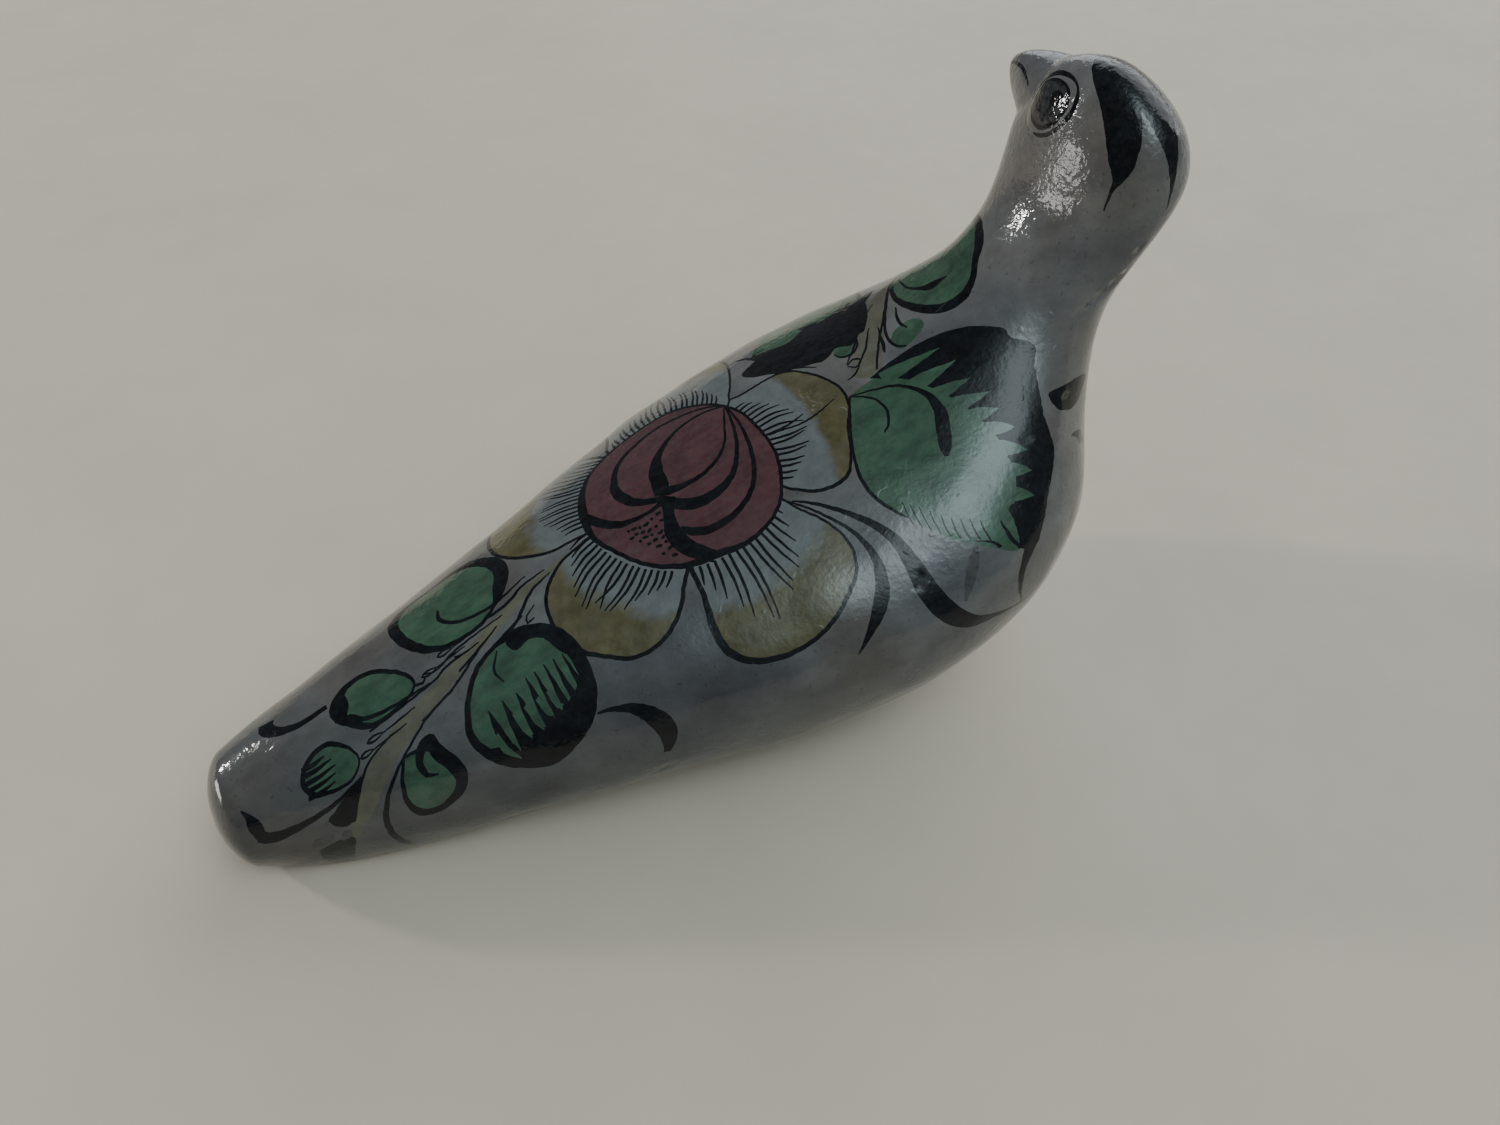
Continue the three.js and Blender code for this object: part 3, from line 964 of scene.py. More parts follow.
def paint_lashes():
    """The fine strokes round the flower, and one long petal vein."""
    lashes(112, 56, 15, (2.5, 6.5, 11, 17, 12, 8, 3.2), bend=-7)
    lashes(38, -22, 17, (4.5, 8.5, 10.5, 13, 19, 14, 11, 8, 4), bend=9)
    lashes(122, 178, 17, (3.5, 6, 9, 10.5, 12.5, 9.5, 8, 5), bend=14)
    lashes(184, 244, 19, (4.2, 7, 9, 10.5, 11.5, 8.5, 6), bend=-12)
    lashes(-38, -108, 21, (3.6, 7, 8.5, 11, 14, 9, 6.5, 3.6), bend=12)
    brush((143, 0.4, 0.5), (154, 2.2, 0.5), (162, 2.3, 0.5), (171.5, 1.3, 0.3))


def paint_flower():
    """The maroon flower, its seeds and the black strokes over it."""
    outlined(R, (122, 19, 1.1), (115.5, 17.7, 1.6), (109.3, 16.1, 1.2), (103, 11.6, 0.9),
             (98.7, 5, 0.9), (96.5, -0.5, 1.2), (97.2, -7, 2.1), (99.3, -13.4, 1.6),
             (103.2, -19, 0.9), (108.8, -22.9, 0.8), (115, -24.8, 0.8), (121.4, -25, 0.8),
             (127.1, -23.8, 0.9), (132.1, -21, 0.9), (136.4, -17, 0.9), (138.6, -13.9, 1.1),
             (141.1, -9.3, 1.0), (142.1, -3, 1.1), (142.1, 1.5, 1.0), (141.2, 5.7, 1.0),
             (139.5, 9, 1.1), (137, 12.4, 0.9), (133.8, 15.6, 0.8), (128.5, 18.1, 0.8))
    for k in range(81):
        m = 98.3 + 1.5 * (k % 9) + 0.45 * math.sin(7 * k)
        v = 1.7 + 1.65 * (k // 9) + 0.45 * math.cos(5 * k)
        if v < 15.5 - 0.095 * (m - 114) ** 2 + 1.6 and v > 2.4 - 0.1 * abs(m - 104) and m < 110.3:
            length = 0.45 + 0.2 * math.sin(3 * k)
            brush((m - length, v - 0.3 * math.sin(k), 0.5), (m, v, 0.75),
                  (m + length, v + 0.3 * math.sin(2 * k), 0.5), shake=0.05)
    brush((115.5, 18, 2.5), (111.9, 13.5, 3.4), (110.7, 9, 3.6), (111.9, 4.5, 2.4),
          (113.6, 0.5, 3.4))
    brush((112.3, 8.6, 1.2), (114.7, 11.2, 1.9), (118.6, 12.6, 1.8), (123.6, 12.4, 1.4),
          (128.6, 10.5, 1.2), (132.9, 6.8, 1.2), (136.4, 0.7, 1.2), (138.4, -6.4, 0.9),
          (138.8, -13, 0.6))
    brush((112.6, 0, 1.6), (114.2, 2.8, 2.6), (117.4, 5.2, 2.9), (121.6, 5.9, 2.4),
          (127.1, 4.7, 1.6), (131.4, 1.4, 1.2), (135, -3.6, 1.0), (137.4, -9.3, 0.8),
          (138.6, -13.6, 0.6))
    brush((112.6, -1.5, 1.6), (115, -0.6, 2.2), (118.6, 0, 1.4), (123.6, -0.1, 1.0),
          (128.6, -1.8, 0.8), (132.1, -4.6, 0.7), (135, -8.9, 0.6), (138.4, -14, 0.5))
    brush((113, -0.5, 3.4), (114, -4, 3.7), (114.9, -7.6, 3.2), (117.3, -11.4, 1.9),
          (121.4, -14.5, 1.1), (126.4, -16.2, 0.8), (132.1, -16.3, 0.8), (138.4, -14.2, 0.6))
    brush((113.4, 0.6, 1.8), (109.6, -1, 1.6), (107, -3.2, 2.2), (105.7, -6.4, 2.5),
          (105.6, -9.4, 2.0), (106.8, -12.6, 1.4), (109.4, -16.6, 1.2), (113.8, -19.5, 1.1),
          (120.7, -20.8, 1.0), (128.6, -19.7, 0.9), (134.3, -17.4, 0.8), (138.5, -14, 0.6))
    brush((113, 1, 1.6), (109.5, 1.5, 0.9), (105.8, 1.3, 1.1), (102, 0, 1.8),
          (99.2, -2.8, 2.2), (97.4, -6.4, 2.0))


def shoulder_leaf():
    """The large feathered leaf, as shapes around its stalk end at (175.5, 3)."""
    shapes = [
        (G, patch([(160.5, 29.5), (158.6, 25), (158.8, 21), (161, 17), (166, 12), (170.5, 8),
                   (175.3, 3.4), (184, 2.8), (194, 4), (203, 12), (204, 22), (199, 31),
                   (190, 41), (180, 48), (173.5, 50.5), (170.5, 45.5), (166, 39.5)])),
        (K, stroke([(175.5, 3, 0.6), (170.5, 8, 0.7), (165.8, 12.3, 0.8), (161, 17.2, 1.0),
                    (158.6, 21, 1.3), (158.2, 25, 1.3), (160.4, 29.8, 0.9), (162, 32, 0.3)])),
        (K, patch([(165, 65.5), (166.8, 60.8), (169.3, 57), (172, 54.8), (175, 53.4), (178, 51.7),
                   (181, 49.8), (185, 46.6), (189, 43.6), (193, 40.2), (196, 36), (199, 31.5),
                   (203, 27), (206.8, 22.8), (209.8, 20.5), (210.2, 18), (209.2, 15.5),
                   (210, 13.2), (208.3, 10.4), (205.5, 7.4), (201, 4.7), (195, 2.9), (188, 2),
                   (182.5, 2.2), (182.5, 2.2), (186.5, 5.8), (189, 9), (190.5, 13), (191.5, 17),
                   (191.8, 22), (191, 27), (188.5, 32.5), (185.5, 37.5), (181, 41.5),
                   (177.5, 45.5), (175, 50), (172, 52.6), (168.8, 55.6), (166.4, 60)])),
    ]
    tongues = [((187, 4.8), (198.7, 7.2), 3.4), ((189.5, 10.3), (198.8, 11.6), 3.4),
               ((190, 14.8), (197.8, 16.3), 3.2), ((190.6, 18.6), (197.6, 20.9), 3.4),
               ((191, 22.6), (195.6, 24.6), 3.2), ((190.6, 26.4), (194, 29.4), 3.2),
               ((188.5, 30.5), (191.4, 35), 3.6), ((185.6, 35), (188.2, 39), 3.4),
               ((181.6, 39), (184, 43.6), 3.6), ((178, 42.6), (180.6, 47), 3.2)]
    for (m0, v0), (m1, v1), width in tongues:
        run = np.array([m1 - m0, v1 - v0]) / math.hypot(m1 - m0, v1 - v0)
        left = np.array([-run[1], run[0]]) * width / 2
        root, tip = np.array([m0, v0]) - run * 2.5, np.array([m1, v1])
        bulge = root + run * 4.5
        shapes.append((G, patch([root + left, root + left, bulge + left * 0.85, tip, tip,
                                 bulge - left * 0.95, root - left, root - left])))
    shapes += [
        (K, patch([(173.6, 50.4), (175.4, 48), (177.6, 44.6), (179.2, 41.8), (180.7, 41.6),
                   (181.2, 44), (180.4, 47.5), (178.6, 51), (176, 53)])),
        (K, stroke([(173.6, 50.3, 0.6), (174.6, 46.4, 0.8), (176.2, 42.6, 0.3)])),
        (K, stroke([(180.7, 25.9, 0.8), (182.3, 24.2, 2.3), (185, 21.2, 2.7), (187.5, 18.2, 2.5),
                    (188.7, 15, 1.8), (188.3, 11.4, 1.1), (185.6, 7.5, 0.7), (181, 5, 0.5),
                    (175.7, 3, 0.4)])),
        (K, stroke([(175, 14.7, 0.3), (177.9, 13.3, 0.6), (180, 10.2, 0.7), (179.4, 6.5, 0.6),
                    (175.6, 3, 0.4)])),
    ]
    for k in range(9):
        m, v = 161.4 + 1.25 * k, 33.4 + 1.45 * k
        shapes.append((K, stroke([(m, v, 0.25), (m + 0.9, v - 2.4, 0.42),
                                  (m + 2.3, v - 4.8 - 0.4 * math.sin(k), 0.2)], 0.05)))
    shapes.append((K, stroke([(171.6, 47, 0.8), (171.6, 45, 0.6), (169.4, 42.7, 0.3)])))
    return shapes


def paint_shoulders():
    """The big leaf, its guessed twin, and the strokes beside them."""
    PAINTING.extend(shoulder_leaf())
    PAINTING.extend((paint, moved(outline, (190, -34), 75, 0.68, (175.5, 3)))
                    for paint, outline in shoulder_leaf())
    fill(K, (151, -22), (152.5, -18.5), (158, -16), (163, -13.5), (168, -12.3), (173, -10.8),
         (177, -9.5), (181, -10.5), (185, -12.5), (189, -15), (193, -18), (196, -22), (194, -23),
         (182, -24), (178, -25.5), (172, -23), (163, -24.5))
    strokes = [
        (T, stroke([(158, 51.5, 0.6), (161.5, 48.8, 2.0), (165.5, 45.8, 2.1), (169, 43.4, 0.5)])),
        (K, stroke([(165.6, 65.6, 0.4), (161, 61.3, 1.4), (156.6, 57, 3.2), (153.6, 51, 5.0),
                    (153, 45, 5.4), (154, 39, 4.4), (154.3, 34, 3.4), (152, 29, 2.2),
                    (147, 23.8, 1.3), (141.5, 19.5, 0.8), (136.8, 16.6, 0.4)])),
        (K, stroke([(132.9, 48.6, 0.3), (136.8, 45.8, 1.6), (140.8, 43, 3.0), (144.6, 39.2, 3.2),
                    (146.9, 34, 2.2), (146, 28.5, 1.2), (142.5, 23.2, 0.8), (138.5, 18.8, 0.6),
                    (134.8, 15.2, 0.4)])),
        (K, patch([(203.3, 29.3), (202, 30.6), (200.8, 34), (201.5, 38), (204, 39.9),
                   (207.4, 39.4), (208, 36.6), (206.6, 33)])),
        (K, stroke([(195, 53.4, 0.4), (195.9, 49.5, 1.7), (197.1, 45.6, 1.4), (196.6, 43.2, 0.4)])),
    ]
    PAINTING.extend(strokes)
    PAINTING.extend(mirrored([strokes[1], strokes[2]], -18))
    PAINTING.extend(mirrored(strokes[3:], -2))


def paint_neck():
    """The stalk and the small leaves between the shoulders."""
    fill(S, (183, 2.3), (187, 1.6), (193, -5.5), (197.5, -12), (200.6, -18.6), (197.6, -19.6),
         (190, -12.8), (184.5, -6), (180, -1.5))
    fill(G, (193.2, 1.6), (196.6, 1.6), (200, 0.6), (200.6, -1.6), (198.6, -3.4), (195, -3.8),
         (192.6, -2.4), (192, -0.4))
    fill(G, (180.2, -9.4), (181, -7.2), (183.2, -6.2), (185.6, -6.8), (186.8, -9), (186.4, -12),
         (183, -13.4), (180.6, -12))
    brush((180, -9.2, 0.3), (181, -7.1, 0.6), (183.4, -6.1, 0.7), (185.8, -7, 0.6),
          (187.2, -9.6, 0.3))
    outlined(G, (200.9, -19.6, 1.0), (200.9, -19.6, 1.0), (199.6, -13, 1.2), (200.4, -8, 1.6),
             (202.6, -3.2, 2.2), (206, 0.6, 2.4), (210.5, 1.9, 2.2), (214.6, 0.8, 1.5),
             (218, -1.8, 1.6), (221.6, -4.6, 2.6), (224, -8.8, 2.4), (224, -13.4, 1.6),
             (221.4, -18.2, 1.4), (215, -22, 1.4), (207, -22.6, 1.2))
    brush((202.3, -18, 0.4), (203.2, -12, 0.6), (205.3, -8.4, 1.0), (207.6, -6.5, 2.1),
          (211.4, -5.1, 0.3))
    brush((185.3, 1.6, 0.5), (190.2, -4, 0.6), (195, -9.4, 0.6), (198.6, -15.4, 0.4))
    brush((189.6, -0.7, 0.4), (190.6, -2.8, 0.9), (192.4, -7.8, 0.3))
    brush((194, 1.7, 0.5), (192.3, -0.8, 0.7), (192.9, -5, 0.7), (197, -12, 0.8),
          (200.7, -19.4, 0.9))
    brush((197.2, -2.1, 0.4), (196.8, -5, 0.8), (198.4, -9.2, 0.4))
    brush((178.2, -0.7, 0.3), (181.2, -1.1, 0.5), (184.2, -2.9, 0.3))
    brush((183.3, -2.5, 0.3), (187, -5, 0.6), (190.7, -9.4, 0.3))
    brush((180.8, -4.4, 0.3), (185, -7.3, 0.6), (190, -12.4, 0.6), (194.8, -16, 0.3))
    brush((180.6, -3.8, 0.3), (182.4, -2.2, 0.5), (184.2, -3.2, 0.6), (182.6, -4.6, 0.5),
          (180.8, -4, 0.3))
    brush((166.8, -13, 0.3), (170.5, -11.4, 0.5), (174.2, -9, 0.3))


def paint_tail_leaves():
    """The leaves of the tail, with their teeth and curls."""
    outlined(G, (63.5, 4.3, 0.9), (58, 3.7, 1.3), (54, 1, 2.0), (51.4, -3.4, 2.4),
             (50.8, -8.6, 2.4), (52.8, -12.4, 1.8), (57, -14.8, 1.2), (62, -15.5, 1.1),
             (67.5, -15.5, 1.6), (72.4, -13.9, 2.6), (75.9, -9.8, 3.4), (76.6, -5.4, 3.6),
             (74.4, -1.2, 3.0), (72, 1.6, 1.0), (68.5, 3.6, 0.9))
    brush((60.6, -5.8, 0.5), (60.1, -3, 1.0), (62.3, -0.4, 0.9), (66.6, 1, 0.8),
          (72.6, 1.3, 0.7), (80.8, -0.7, 0.3))
    outlined(G, (72.9, 34.6, 2.6), (67.5, 32.6, 2.4), (62.4, 28.8, 2.0), (59, 24, 1.6),
             (58.3, 20.4, 1.5), (60, 15.6, 1.2), (63.6, 11.6, 1.1), (68, 9.8, 0.9),
             (72.4, 9.3, 1.6), (77, 10.6, 2.4), (80.8, 13.6, 3.0), (83, 18, 3.0),
             (83.6, 23.6, 2.8), (82.6, 28.2, 2.8), (79.4, 32, 2.8))
    fill(K, (60, 26), (62.5, 30), (67, 33), (73, 34.8), (79.5, 32.5), (83, 28), (83.6, 23),
         (80, 25.5), (75, 27.6), (70, 28), (65, 27.4))
    teeth = [(62.9, 19.6), (66.2, 19.4), (69.4, 19.6), (72.2, 18.2), (74.3, 18), (76.5, 17.7),
             (78.6, 17.8), (80.8, 18)]
    for k, (m, v) in enumerate(teeth):
        width = 1.7 if k < 4 else 1.2
        brush((m + 1.8, 28.5, width + 0.6), (m + 0.9, 24, width), (m, v, 0.25))
    for k, (m, v) in enumerate([(66.8, 29.6), (69.6, 28.6), (72.3, 28.4), (75, 27), (77.4, 26)]):
        brush((m - 2, 22.5, 0.9), (m - 0.9, 26, 1.0), (m, v, 0.2), paint=G)
    brush((66.6, 31.2, 0.2), (64.2, 28, 1.3), (63, 24.4, 1.0), paint=G)
    fill(K, (71, 10.2), (72.6, 12.6), (75.6, 12), (78.6, 13.4), (80.4, 17), (82.6, 19.4),
         (84, 17), (82, 13), (78, 10.2), (74, 9))
    brush((67.8, 16.6, 0.3), (66.8, 13.6, 0.6), (68.8, 10.5, 0.3))
    outlined(G, (44.9, 18.6, 0.6), (44.9, 18.6, 0.6), (43.9, 22.9, 0.8), (44.4, 27.9, 1.0),
             (46.8, 31.6, 1.6), (50.2, 32.7, 1.8), (53.5, 31.2, 2.4), (54.9, 28.2, 2.4),
             (54, 24.6, 1.8), (51.6, 21, 1.4), (48.4, 19, 0.9))
    brush((55, 29, 2.0), (53.4, 24.6, 2.3), (51.4, 21.2, 2.6), (50.4, 18.4, 1.8))
    brush((50.6, 25.2, 0.3), (48.6, 24.2, 0.9), (47.6, 21.6, 1.4), (48.4, 18.9, 1.9),
          (50.6, 17.8, 1.2), (52, 19.6, 0.3))
    outlined(G, (45.1, 9.9, 0.8), (40.4, 9.7, 1.1), (37, 6.6, 1.8), (35.3, 3.4, 2.6),
             (36.4, 0.6, 2.0), (39.6, -0.9, 1.3), (43.7, -0.2, 1.1), (48, 2.9, 0.9),
             (50.6, 6.2, 0.7), (50, 8.4, 0.6))
    fill(K, (34.6, 5.4), (36.4, 6), (37.8, 3.4), (37.6, 1), (36, 0.2), (34.6, 2.4))
    brush((37.2, 5.6, 0.8), (40.2, 8, 0.9), (45.1, 8.8, 0.7), (53.7, 9, 0.4))
    brush((50.4, 7.6, 0.6), (52.4, 8.2, 0.6), (53.4, 7.2, 0.3))
    outlined(G, (35, 16.8, 0.6), (31.6, 16.7, 0.8), (28.3, 15.3, 0.9), (26.7, 12.1, 0.9),
             (28.3, 9.1, 1.0), (31.6, 8.1, 1.0), (34.3, 9.5, 0.8), (36.6, 12.2, 0.4),
             (37, 14.8, 0.4))
    for v, reach in ((15.3, 32.2), (13.9, 32.6), (12.5, 32.9), (11.1, 32.4), (9.9, 31.4)):
        brush((27, v, 1.0), (29.5, v + 0.2, 0.9), (reach, v - 0.1, 0.3), shake=0.05)


def paint_stem():
    """The stem of the tail and its tendrils."""
    brush((33.8, 30, 1.2), (35.8, 25, 3.8), (40, 18, 5.2), (46, 14.2, 4.4), (54, 11.4, 3.2),
          (62, 8.6, 2.6), (71, 5.6, 2.4), (80, 2.6, 1.8), (90, 0, 0.8), paint=S)
    lines = [
        [(45.4, 47, 0.4), (44.6, 43.4, 1.0), (42.4, 38.6, 1.2), (40.6, 33.6, 1.1),
         (39.9, 28, 1.2), (41.3, 22.9, 0.9), (44.9, 18.6, 0.6), (50.7, 14.6, 0.5),
         (57.3, 12.6, 0.4), (59, 11.4, 0.2)],
        [(33.6, 25.4, 1.4), (35, 21, 1.3), (37.4, 17, 0.6), (39.4, 15.2, 0.5), (43.8, 13.4, 0.3)],
        [(50, 14.4, 0.3), (58, 12.2, 0.5), (64.5, 8.8, 0.6), (70.6, 6.2, 0.3)],
        [(40.1, 10.6, 0.5), (53.7, 9.2, 0.5), (58.5, 7.8, 0.5), (66, 7, 0.3)],
        [(53.2, 6.8, 0.4), (56, 7.4, 0.4), (62, 5.6, 0.5), (72.8, 4.6, 0.3)],
        [(60, 10.2, 0.5), (65, 8.4, 0.5), (70.8, 6.2, 0.3)],
        [(63.6, 11.2, 0.6), (70, 9, 0.6), (76.6, 7, 0.3)],
        [(60, 7, 0.4), (62.5, 7.4, 0.4), (65.6, 6.9, 0.2)],
        [(66.5, 10.8, 0.5), (74.3, 7.9, 0.7), (80, 3.6, 0.7), (85.6, 1.6, 0.3)],
        [(60, 3, 0.5), (72.9, 3.2, 0.7), (79, 1.2, 0.6), (84.8, 0.2, 0.3)],
        [(78.6, 8.7, 0.3), (76.8, 9, 0.5), (77.4, 7.6, 0.4), (79.8, 6.4, 0.3)],
        [(82.9, 31.1, 0.4), (87.1, 32.6, 1.2), (90.8, 35.2, 2.4), (93.6, 39.4, 3.6),
         (94.6, 43.2, 3.4), (93.6, 47.2, 1.6)],
        [(16.8, 16.2, 2.2), (18.6, 18, 2.4), (21.4, 19.1, 2.3), (26, 19.6, 1.5),
         (31.6, 19.1, 1.0), (36.8, 17.3, 0.5)],
        [(17.2, 16.6, 2.0), (16.6, 13.4, 2.4), (16.1, 11.6, 1.2), (15.3, 9.6, 0.3)],
        [(23.3, -4.2, 2.9), (23.2, -2, 2.7), (25.3, 0.2, 1.9), (28.8, 1.4, 1.3),
         (33.9, 1, 1.1)],
    ]
    for line in lines:
        brush(*line)
    for m, v, size in ((38.6, 14.1, 1.5), (40.6, 12.3, 1.9), (54, 7.1, 2.0), (58.3, 5.1, 2.0)):
        brush((m + size, v - 0.1, 0.25), (m, v + 0.45, 0.45), (m - size * 0.7, v, 0.55),
              (m, v - 0.55, 0.45), (m + size, v - 0.2, 0.25), shake=0.03)
        brush((m + size, v - 0.1, 0.3), (m + size + 3.4, v - 0.5, 0.45),
              (m + size + 7, v - 0.9, 0.25))
    fill(K, (29.4, 22), (31.6, 25.2), (33.8, 25.2), (34.8, 21.6), (37, 17.4), (33.6, 18.8),
         (31, 20.6))
    fill(K, (26.9, 31.5), (27.2, 29.3), (33.3, 29.3), (33.6, 36), (33.4, 44.5), (31, 44.5),
         (28.6, 38))
    fill(T, (25.6, 27), (27, 28.4), (29.4, 28), (30, 26), (28.2, 24.6), (26, 25.2))
    fill(T, (31.2, 29.2), (33.4, 29.2), (33, 26.8), (31.8, 26.6))
    # The comma on the flank has a guessed twin on the left side.
    PAINTING.extend(mirrored([(K, stroke(lines[11]))], 9))


def paint_head():
    """The two stripes of the crown."""
    brush((241, 15.5, 0.3), (245, 15.5, 0.7), (246.6, 15.7, 1.6), (249, 15.6, 3.8),
          (252.4, 14.2, 5.4), (256, 12, 5.9), (260, 8.9, 6.0), (263.6, 5, 5.6),
          (266.6, 1.4, 4.4), (268.6, -0.8, 2.2))
    brush((241.5, 27.6, 0.3), (246, 26.4, 0.8), (251, 24.2, 2.3), (255, 21.5, 3.8),
          (259, 17.8, 4.9), (262.6, 13.7, 5.4), (265.4, 10.2, 5.2), (267.6, 6.5, 4.0),
          (269.3, 2.9, 1.8))


def worn_edge(side, start, end, above, below):
    """The pale bare clay along the edge of the base, where the varnish has worn away."""
    top, bottom = [], []
    for m in np.arange(start, end, 1.0):
        v = np.linspace(0.05, 0.5, 400) * girth_at(m)
        flat = outer_point(np.full(400, m), side * v)[:, 2] < BASE_SOFTNESS * 0.9
        if not flat.any():
            continue
        edge = v[np.argmax(flat)]
        fade = math.sin(math.pi * (m - start) / (end - start)) ** 0.35
        uneven = 0.55 + 0.45 * math.sin(0.9 * m) * math.sin(0.37 * m + 1)
        top.append((m, side * (edge - above * fade * uneven)))
        bottom.append((m, side * min(edge + below, 0.499 * girth_at(m))))
    PAINTING.append((W, np.array(top + bottom[::-1])))


paint_stem()
paint_petals()
paint_lashes()
paint_flower()
paint_tail_leaves()
paint_neck()
paint_shoulders()
paint_head()
worn_edge(1, 12, 150, 2.3, 1.2)
worn_edge(-1, 12, 150, 1.1, 1.2)


# ---------------------------------------------------------------- pieces


def made(piece, slot, *stands_for):
    """A finished piece on the one body, in the place of its CAD node."""
    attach(piece, "root")
    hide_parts(*stands_for)
    return piece


# The radius of a cutter's long edges, in millimetres.
CUTTER_ROUND = 0.8


def box_cutter(low, high):
    """A box in metres, with its edges along x rounded, to cut an opening with."""
    cutter = bmesh.new()
    bmesh.ops.create_cube(cutter, size=1)
    middle, size = (np.array(low) + high) / 2, np.array(high) - low
    for vert in cutter.verts:
        vert.co = Vector(middle + np.array(vert.co) * size)
    along = [e for e in cutter.edges if abs(e.verts[0].co.x - e.verts[1].co.x) > size[0] / 2]
    bmesh.ops.bevel(cutter, geom=along, offset=CUTTER_ROUND * MM, segments=4, profile=0.5,
                    affect="EDGES")
    mesh = bpy.data.meshes.new("cutter")
    cutter.to_mesh(mesh)
    cutter.free()
    mesh.materials.append(RAW)
    return placed("cutter", mesh)


# A face this close to the painted one, in millimetres, and this parallel to it, is part of it.
SAME_FACE, SAME_WAY = 0.002, 0.99


def cut_openings(piece, boxes):
    """Cut boxes out of a skin, and give its painted face its exact normals again."""
    mesh = piece.data
    painted = list(mesh.polygons)[: PAINTED_FACES[piece.name]]
    tree, faces = KDTree(3 * len(painted)), []
    normals = [tuple(c.vector) for c in mesh.corner_normals]
    for face in painted:
        faces.append(tuple(face.vertices))
        for corner in face.loop_indices:
            tree.insert(mesh.vertices[mesh.loops[corner].vertex_index].co, corner)
    tree.balance()
    skin = BVHTree.FromPolygons([v.co.copy() for v in mesh.vertices], faces)
    for low, high in boxes:
        cutter = box_cutter(low, high)
        cut = piece.modifiers.new("cut", "BOOLEAN")
        cut.object, cut.operation, cut.solver = cutter, "DIFFERENCE", "MANIFOLD"
        view = bpy.context.evaluated_depsgraph_get()
        done = bpy.data.meshes.new_from_object(piece.evaluated_get(view))
        piece.modifiers.clear()
        piece.data = done
        bpy.data.objects.remove(cutter)
    done = piece.data
    done.name = piece.name
    restored = []
    for face in done.polygons:
        _, normal, _, distance = skin.find_nearest(face.center)
        on_skin = distance < SAME_FACE * MM and normal.dot(face.normal) > SAME_WAY
        for corner in face.loop_indices:
            place = done.vertices[done.loops[corner].vertex_index].co
            restored.append(normals[tree.find(place)[1]] if on_skin else tuple(face.normal))
    done.normals_split_custom_set(restored)


# The slip's half thickness at the hollow and near the surface, and how deep it starts.
SLIP_WIDE, SLIP_THIN, SLIP_DEPTH = 0.5, 0.02, 0.45


def slip_band(name, chart, joint, stands_for, closed):
    """The slip along a joint: a wedge, thin near the surface and wide at the hollow."""
    m, v = np.array(chart).T
    way = JOINT_PLANES[joint][1]
    outside, inside = outer_point(m, v), body_wall(m, v)
    depth = SLIP_DEPTH / np.linalg.norm(inside - outside, axis=1)[:, None]
    thin = outside + (inside - outside) * depth
    corners = [thin + SLIP_THIN * way, inside + SLIP_WIDE * way, inside - SLIP_WIDE * way,
               thin - SLIP_THIN * way]
    count = len(m)
    points = (np.concatenate(corners) + SHIFT) * MM
    faces = []
    for k in range(count if closed else count - 1):
        n = (k + 1) % count
        for c in range(4):
            d = (c + 1) % 4
            faces.append((c * count + k, d * count + k, d * count + n, c * count + n))
    if not closed:
        faces.append(tuple(c * count for c in range(4)))
        faces.append(tuple(c * count + count - 1 for c in reversed(range(4))))
    mesh = bpy.data.meshes.new(name)
    mesh.from_pydata(points.tolist(), [], faces)
    work = bmesh.new()
    work.from_mesh(mesh)
    bmesh.ops.recalc_face_normals(work, faces=work.faces)
    work.to_mesh(mesh)
    work.free()
    mesh.materials.append(RAW)
    made(placed(name, mesh), "joining_slip", stands_for)


def clay_skin(name, stands_for, region, inner):
    """A painted shell of the bird."""
    return made(build_skin(name, skin_data(region, PAINTING, inner)), "burnished_clay", stands_for)


clay_skin("skin_right", "body_shell_right", body_region(1), body_inner(-1))
clay_skin("skin_left", "body_shell_left", body_region(-1), body_inner(1))
head = clay_skin("head_skin", "head_shell", head_region(), head_inner)
tail = clay_skin("tail_skin", "tail_mouthpiece", tail_region(), tail_inner)

# The seam's slip stops short of the slip of the tail and the neck.
SEAM_STEPS, SEAM_SHORT = 120, 1.2
right_joint, left_joint = tail_joint_line(1), tail_joint_line(-1)
ridge_m, belly_m = [np.linspace(end[0] + SEAM_SHORT, NECK_M - SEAM_SHORT, SEAM_STEPS)
                    for end in (right_joint[0], right_joint[-1])]
slip_band("slip_of_the_back", part_way(ridge_m, 0), "seam", "seam_slip_back", False)
slip_band("slip_of_the_belly", part_way(belly_m, 0.5), "seam", "seam_slip_belly", False)
slip_band("slip_of_the_neck", neck_line(-0.5, 0.5, 4 * NECK_STEPS)[:-1], "neck", "neck_joint_slip",
          True)
slip_band("slip_of_the_tail", np.concatenate([right_joint[:-1], left_joint[::-1][:-1]]), "tail",
          "tail_joint_slip", True)

# The eyes are thin pellets: chart middle of the left one, half sizes, tilt in the chart, and how
# far they stand proud in the middle, dip in at their edge, and reach into the head.
EYE_MIDDLE, EYE_HALF, EYE_TILT = np.array([254.6, -4.2]), (7.3, 6.5), 35.0
EYE_PROUD, EYE_EDGE, EYE_SUNK = 0.55, 0.06, 0.5
EYE_POINTS = 80


def eye_reach(m, v):
    """0 at the middle of the left eye and 1 at its edge."""
    return np.linalg.norm(turned(np.stack([m, v], -1) - EYE_MIDDLE, -EYE_TILT) / EYE_HALF, axis=-1)


def mirror_v(m, v):
    """The same place on the other side of the head, whose middle plane holds the beak."""
    return girth_at(m) / 2 - v


def mirror_outline(outline):
    return np.stack([outline[:, 0], mirror_v(outline[:, 0], outline[:, 1])], -1)[::-1]


